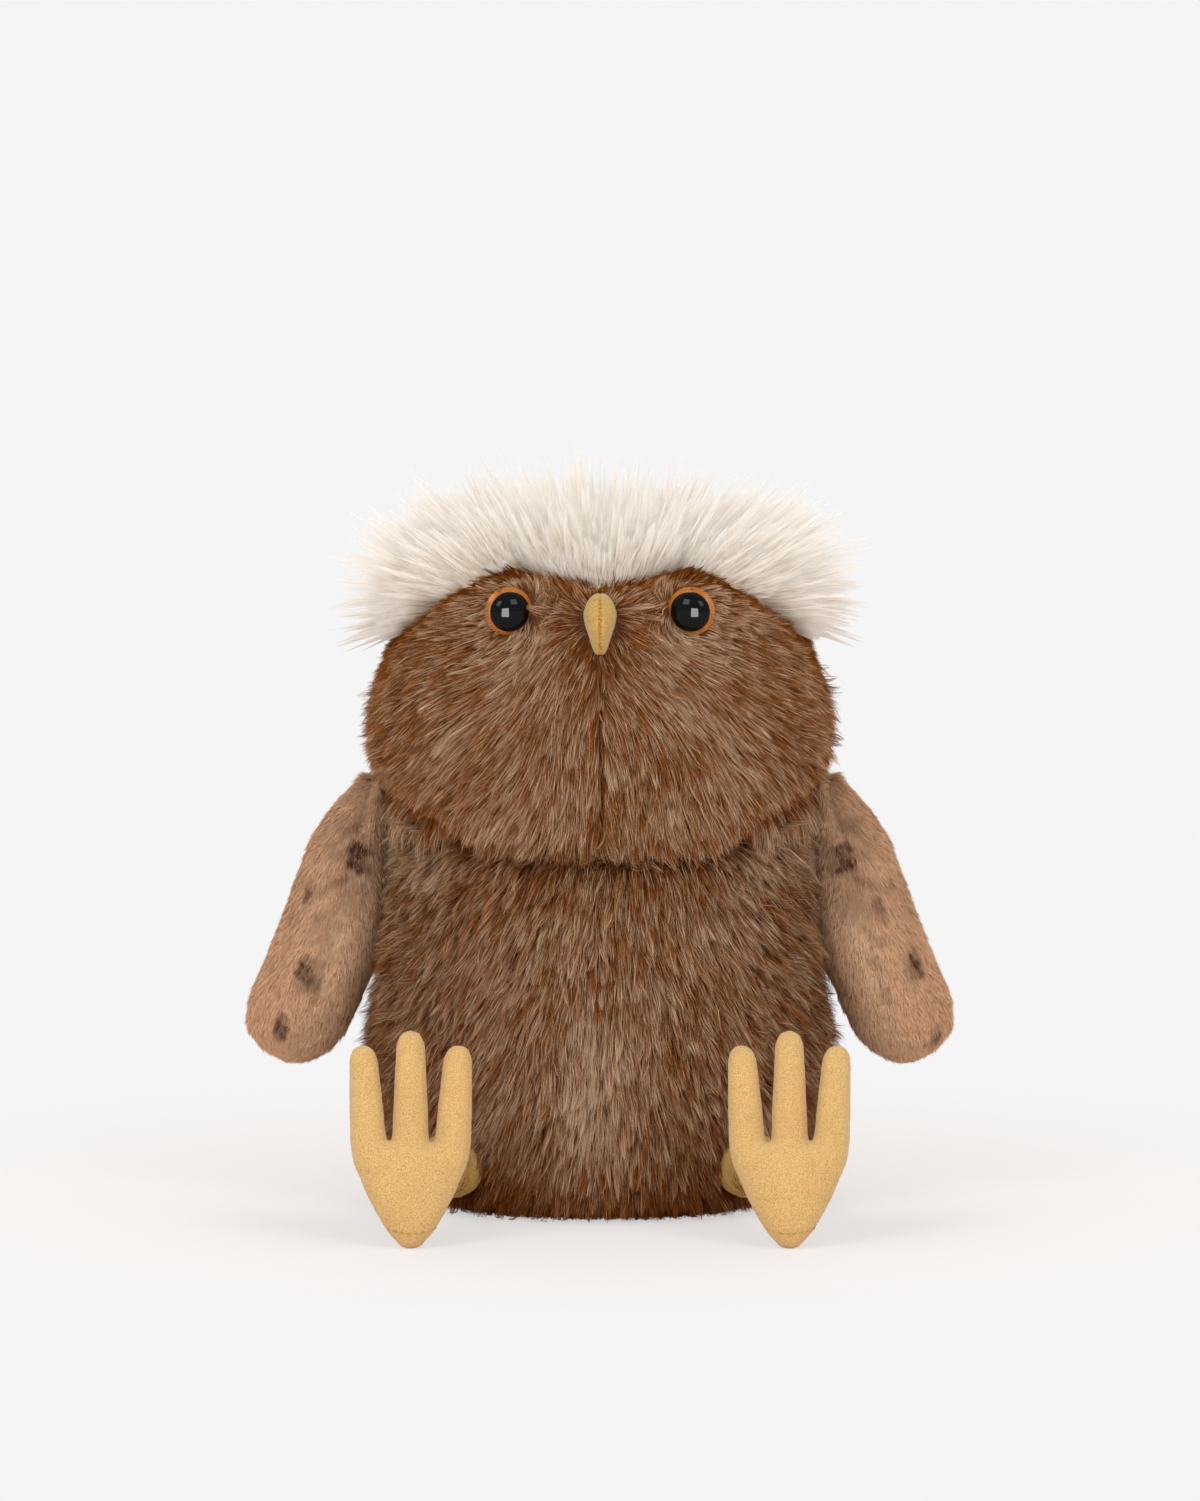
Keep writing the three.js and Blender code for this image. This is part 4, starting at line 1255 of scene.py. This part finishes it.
class OWL_OT_wings(bpy.types.Operator):
    """Sews the wings, brushes their short pile and gives the outer panels their spots"""

    bl_idname = "owl.wings"
    bl_label = "Wings"

    def execute(self, context):
        pile, colours, _ = settings()
        spot = lot(colours.wing_spot, 0.5, 0.75)
        # Both tans are paler than set, so that the painted light low on the wing has room to show
        tan, plain = (lot(shade(c, 1.16), 0.9, 0.96) for c in (colours.wing_tan, colours.wing_plain))
        outer_pile = get_material("sheared_tan_faux_fur", pile_material, spot, tan, 0.04)
        inner_pile = get_material("sheared_plain_faux_fur", pile_material, spot, plain, 0.04)
        backing = get_material("tan_knitted_backing", backing_material, linear("#b08764"))
        neighbours = node_trees_of(BODY_PANELS + HEAD_PANELS)
        short_pile = Pile(
            pile.wing_length, 0.85 * pile.strand_width, 0.42, uneven=0.1, lock_pull=0.2, wisp_share=0,
            scatter=0.2, steps=2, tone=0.76, lock_tone=0.03, strand_tone=0.05, swell_turn=0.12,
        )
        for number, (side, sign) in enumerate(SIDES):
            parts = {
                f"wing_{side}_outer_panel": (outer_pile, f"wing_{side}", "wing_spotted_fur"),
                f"wing_{side}_inner_panel": (inner_pile, f"wing_{side}", "wing_plain_fur"),
            }
            nodes = [*parts, f"wing_{side}_filling"]
            form = stuffed_form(f"wing_{side}_form", nodes, voxel=1.4, smoothing=8)
            matrix = wing_matrix(sign)
            round_wing(form, sign)
            pull_seam(form, lambda p: self.from_crease(p, matrix, sign), 1.9, 2.4)
            pieces = cut_panels(form, list(parts))
            for node, look in parts.items():
                draws = random_draws(50 + 2 * number + ("outer" in node))
                roots, normals = plant(pieces[node], pile.wing_density, draws)
                room = distance_to(roots, neighbours, 6 * MM)
                roots, normals, room = only(room > 0.5 * MM, roots, normals, room)
                down = np.array(matrix.to_3x3() @ Vector((0, 0, -1)))
                headings = along_surface(np.tile(down, (len(roots), 1)), normals)
                shift = self.spots(roots, matrix, sign)
                name = node.replace("_panel", "_pile")
                brush(name, look, roots, normals, headings, short_pile, draws, 1, room, shift)
                thicken(pieces[node], WING_CLOTH)
                place_piece(pieces[node], backing, *look[1:], [node])
            bpy.data.objects.remove(form)
        return {"FINISHED"}

    def from_crease(self, places, matrix, sign):
        """Distance in millimetres to the crease down each face of a wing, which ends short of its tip."""
        outward, _, down = in_wing(places * MM, matrix, sign).T / MM
        return np.hypot(outward, np.maximum(down - WING_CREASE_END, 0))

    def spots(self, roots, matrix, sign):
        """Dark where a spot lies. Its edge is ragged, and it runs on down the wing. The crease in front gets
        mottled painted shade, and painted light makes the wing paler downward."""
        local = in_wing(roots, matrix, sign) / MM
        outward, front, down = local.T
        ragged = 0.3 * drift_noise(local, 4, random_draws(58))
        shift = 0.05 * drift_noise(local, 12, random_draws(59))
        # Painted shade in the crease in front, mottled, over a faint mottle all over the wing
        crease = bell(outward - 4, 6) * (front > 0)
        shift -= (0.03 + 0.12 * crease) * (1 + drift_noise(local, 6, random_draws(57)))
        # Painted light: the lower wing grows paler where it would lie in shade
        shift += 0.22 * slope(down, 40, 70)
        for *middle, size, dark in FRONT_SPOTS[sign] + BACK_SPOTS:
            away = np.linalg.norm((local - middle) / [1, 1, 1.5], axis=1) / size
            shift = np.minimum(shift, -dark * slope(away - ragged, 1.5, 0.4))
        return shift


class OWL_OT_legs(bpy.types.Operator):
    """Sews the two short legs and brushes their pile"""

    bl_idname = "owl.legs"
    bl_label = "Legs"

    def execute(self, context):
        pile, colours, _ = settings()
        dark = lot(shade(colours.foot_suede, 0.8), 0.85, 0.95)
        pale = lot(shade(colours.foot_suede, 1.15), 0.9, 0.95)
        material = get_material("sheared_leg_faux_fur", pile_material, dark, pale, 0.04)
        backing = get_material("golden_knitted_backing", backing_material, linear("#c9a25e"))
        short_pile = Pile(
            0.6 * pile.wing_length, 0.75 * pile.strand_width, 0.35, steps=2, tone=0.85, lock_tone=0.06
        )
        for number, (side, _) in enumerate(SIDES):
            node = f"leg_{side}_sleeve"
            form = stuffed_form(node + "_cloth", [node, f"leg_{side}_filling"], voxel=1.2, smoothing=8)
            draws = random_draws(60 + number)
            roots, normals = plant(form, pile.wing_density, draws)
            roots, normals = only(roots[:, 1] < -LEG_SHOWN * MM, roots, normals)
            headings = along_surface(np.tile([0, -1, -0.1], (len(roots), 1)), normals)
            foot = node_trees_of(f"foot_{side}_{part}" for part in ("sole", "top"))
            room = distance_to(roots + headings * 2 * MM, foot, 6 * MM)
            roots, normals, headings, room = only(room > 0.8 * MM, roots, normals, headings, room)
            lengths = np.clip(room / (4 * MM), 0.3, 1)
            look = (material, f"leg_{side}", "leg_fur")
            brush(f"leg_{side}_pile", look, roots, normals, headings, short_pile, draws, lengths)
            place_piece(form, backing, f"leg_{side}", "leg_fur", [node])
        return {"FINISHED"}


def foot_matrix(sign):
    """A foot's own frame. Zero is under its heel, +Z runs up the sole and -Y is the sole's side."""
    place = Vector((sign * FOOT_HALF_SPACING, -FOOT_DEPTH, 0)) * MM
    return Matrix.Translation(place) @ Matrix.Rotation(math.radians(-FOOT_LEAN), 4, "X")


def round_heel(form, sign):
    """Draws the heel pad in to a round end."""
    matrix = foot_matrix(sign)
    points, _ = vertex_arrays(form.data)
    local = moved(points, matrix.inverted())
    local[:, 0] *= np.interp(local[:, 2] / MM, HEEL_HEIGHTS, HEEL_SHARES)
    move_points(form.data, moved(local, matrix))


class OWL_OT_feet(bpy.types.Operator):
    """Sews the suede feet, with their edge seam and the closing stitches at the heel"""

    bl_idname = "owl.feet"
    bl_label = "Feet"

    def execute(self, context):
        _, colours, _ = settings()
        suede = get_material("foot_microsuede", suede_material, colours.foot_suede, 0.38 * MM)
        nap = get_material("foot_microsuede_nap", pile_material, *nap_lots(colours.foot_suede), 0.05)
        thread = get_material("spun_gold_thread", thread_material, linear("#c79a50"))
        for number, (side, sign) in enumerate(SIDES):
            body = f"leg_{side}"
            nodes = [f"foot_{side}_{part}" for part in ("sole", "top", "filling")]
            form = stuffed_form(f"foot_{side}_form", nodes, voxel=0.8, smoothing=12, swell=0.45)
            set_down(form)
            matrix = foot_matrix(sign)
            round_heel(form, sign)
            self.soften_webs(form, matrix)
            facing = matrix.to_3x3() @ Vector((0, -1, 0))
            origin = matrix.translation
            pull_seam(form, lambda p: (p - np.array(origin) / MM) @ np.array(facing), 0.35, 0.7)
            places = self.heel_stitches(form, matrix)
            for part, way in (("sole", 1), ("top", -1)):
                piece = split_at(form, f"foot_{side}_{part}_suede", origin, facing * way)
                seed = 80 + 2 * number + (part == "top")
                brush_nap(piece, f"foot_{side}_{part}_nap", (nap, body, "foot_suede"), seed)
                thicken(piece, FOOT_SUEDE)
                place_piece(piece, suede, body, "foot_suede", [f"foot_{side}_{part}"])
            stitch_row(f"foot_{side}_stitches", places, 0.2, (thread, body, "foot_suede"))
            bpy.data.objects.remove(form)
        return {"FINISHED"}

    def soften_webs(self, form, matrix):
        """Rounds the foot where the toes run into the heel pad."""
        points, _ = vertex_arrays(form.data)
        heights = moved(points, matrix.inverted())[:, 2] / MM
        webs = form.vertex_groups.new(name="Webs")
        for i in np.flatnonzero((heights > WEB_LOW) & (heights < WEB_HIGH)):
            webs.add([int(i)], 1, "REPLACE")
        modify(form, "SMOOTH", vertex_group=webs.name, iterations=25)

    def heel_stitches(self, form, matrix):
        """The closing seam runs round the heel on the sole's side, a little in from the edge."""
        surface = BVHTree.FromObject(form, bpy.context.evaluated_depsgraph_get())
        turn = matrix.to_3x3()
        places = []
        for i in range(HEEL_STITCHES):
            angle = math.radians(HEEL_SEAM_START + HEEL_SEAM_TURN * i / (HEEL_STITCHES - 1))
            x, z = HEEL_SEAM_RADIUS * math.cos(angle), HEEL_SEAM_RADIUS * math.sin(angle)
            start = matrix @ (Vector((x, -30, HEEL_SEAM_HEIGHT + z)) * MM)
            place, outward, _, _ = surface.ray_cast(start, turn @ Vector((0, 1, 0)))
            if place is not None:
                places.append((place, turn @ Vector((-math.sin(angle), 0, math.cos(angle))), outward))
        return places


class OWL_OT_filling(bpy.types.Operator):
    """Stuffs the owl: fibrefill in each part and a pouch of pellets in the body"""

    bl_idname = "owl.filling"
    bl_label = "Filling"

    def execute(self, context):
        fibre = get_material("carded_polyester_fibrefill", wadding_material)
        calico = get_material("unbleached_cotton_calico", calico_material)
        stuffed = [("body", "torso", 3.5, None), ("head", "torso", 3.5, None), ("beak", "torso", 0.8, None)]
        for side, sign in SIDES:
            stuffed += [
                (f"wing_{side}", f"wing_{side}", 2, lambda form, sign=sign: round_wing(form, sign)),
                (f"leg_{side}", f"leg_{side}", 1.5, None),
                (f"foot_{side}", f"leg_{side}", 1.2, lambda form, sign=sign: round_heel(form, sign)),
            ]
        for number, (part, body, voxel, reshape) in enumerate(stuffed):
            piece = stuffed_form(f"{part}_wadding", [f"{part}_filling"], voxel, smoothing=3)
            if reshape:
                reshape(piece)
            points, normals = vertex_arrays(piece.data)
            lumps = drift_noise(points, 9 * voxel * MM, random_draws(70 + number))
            inward = (0.35 + 0.3 * lumps.clip(-1, 1)) * voxel * MM
            move_points(piece.data, points - normals * inward[:, None])
            place_piece(piece, fibre, body, "fibre_filling", [f"{part}_filling"])
        pouch = stuffed_form("pellet_pouch_cloth", ["pellet_pouch"], voxel=2, smoothing=6)
        points, normals = vertex_arrays(pouch.data)
        pellets = drift_noise(points, 6 * MM, random_draws(90))
        move_points(pouch.data, points - normals * ((0.3 + 0.2 * pellets) * MM)[:, None])
        place_piece(pouch, calico, "torso", "pouch_cloth", ["pellet_pouch"])
        return {"FINISHED"}


class OWL_OT_stage(bpy.types.Operator):
    """Sets up the floor, the lights and the camera"""

    bl_idname = "owl.stage"
    bl_label = "Stage"

    def execute(self, context):
        _, colours, stage = settings()
        scene = context.scene
        scene.view_settings.view_transform = "Standard"
        self.add_floor(colours.floor)
        self.light_room(scene, colours.floor, stage.world_strength)
        for name, (place, width, height, share) in LIGHTS.items():
            data = bpy.data.lights.new(name, "AREA")
            data.energy = stage.key_power * share
            data.shape = "RECTANGLE"
            data.size, data.size_y = width, height
            light = self.aim(name, data, Vector(place), Vector(LIGHTS_AIM))
            light.visible_diffuse = name != "bright_card"
        data = bpy.data.cameras.new("Camera")
        data.lens = stage.camera_lens
        middle = Vector((0, 0, stage.aim_height))
        away = Vector((0, -math.cos(stage.camera_rise), math.sin(stage.camera_rise)))
        scene.camera = self.aim("Camera", data, middle + away * stage.camera_distance, middle)
        return {"FINISHED"}

    def aim(self, name, data, place, target):
        """A light or a camera that looks from its place at a target."""
        obj = bpy.data.objects.new(name, data)
        bpy.context.scene.collection.objects.link(obj)
        obj.location = place
        obj.rotation_euler = (target - place).to_track_quat("-Z", "Y").to_euler()
        return obj

    def add_floor(self, colour):
        """Matte painted board. It takes the owl's shadow close by and runs into the backdrop further off."""
        shape = bmesh.new()
        bmesh.ops.create_circle(shape, cap_ends=True, segments=96, radius=6)
        floor = object_of("floor", shape)
        floor.location.z = -0.1 * MM
        material, tree = new_material("matte_painted_board")
        distance = add_node(tree, "VectorMath", {0: own_place(tree)}, operation="LENGTH")
        feeds = {"Value": distance.outputs["Value"], "From Min": 0.12, "From Max": 0.3, "To Min": 0.62}
        far = add_node(tree, "MapRange", feeds, interpolation_type="SMOOTHSTEP").outputs[0]
        seen = add_node(tree, "LightPath").outputs["Is Camera Ray"]
        share = add_node(tree, "Math", {0: far, 1: seen}, operation="MULTIPLY").outputs[0]
        board = add_node(tree, "BsdfDiffuse", {"Color": linear("#f5e9e3")})
        backdrop = add_node(tree, "Emission", {"Color": colour, "Strength": 1.0})
        finish_material(tree, mix_shaders(tree, share, board, backdrop))
        floor.data.materials.append(material)

    def light_room(self, scene, colour, strength):
        """Even light from all round, in front of a plain backdrop that only the camera sees."""
        world = bpy.data.worlds.new("Room")
        scene.world = world
        world.use_nodes = True
        tree = world.node_tree
        tree.nodes.clear()
        seen = add_node(tree, "LightPath").outputs["Is Camera Ray"]
        room = add_node(tree, "Background", {"Color": (1, 1, 1, 1), "Strength": strength})
        backdrop = add_node(tree, "Background", {"Color": colour, "Strength": 1.0})
        mixed = mix_shaders(tree, seen, room, backdrop)
        add_node(tree, "OutputWorld", {"Surface": mixed.outputs[0]})


class OWL_PT_panel(bpy.types.Panel):
    """Lists the owl's sizes, colours and pieces"""

    bl_idname = "OWL_PT_panel"
    bl_label = "Plush owl"
    bl_space_type = "VIEW_3D"
    bl_region_type = "UI"
    bl_category = "Plush owl"

    def draw(self, context):
        for group in (context.scene.owl_pile, context.scene.owl_colours, context.scene.owl_stage):
            box = self.layout.box()
            for name in group.__annotations__:
                box.prop(group, name)
        for operator in OPERATORS:
            self.layout.operator(operator.bl_idname)


GROUPS = {"owl_pile": OwlPile, "owl_colours": OwlColours, "owl_stage": OwlStage}
OPERATORS = (
    OWL_OT_body,
    OWL_OT_head,
    OWL_OT_eyes,
    OWL_OT_beak,
    OWL_OT_wings,
    OWL_OT_legs,
    OWL_OT_feet,
    OWL_OT_filling,
    OWL_OT_stage,
)
CLASSES = (*GROUPS.values(), *OPERATORS, OWL_PT_panel)


def register():
    for owl_class in CLASSES:
        bpy.utils.register_class(owl_class)
    for name, group in GROUPS.items():
        setattr(bpy.types.Scene, name, PointerProperty(type=group))


def unregister():
    for name in GROUPS:
        delattr(bpy.types.Scene, name)
    for owl_class in reversed(CLASSES):
        bpy.utils.unregister_class(owl_class)


def main():
    register()
    bpy.ops.owl.body()
    bpy.ops.owl.head()
    bpy.ops.owl.eyes()
    bpy.ops.owl.beak()
    bpy.ops.owl.wings()
    bpy.ops.owl.legs()
    bpy.ops.owl.feet()
    bpy.ops.owl.filling()
    bpy.ops.owl.stage()


if __name__ == "__main__":
    main()
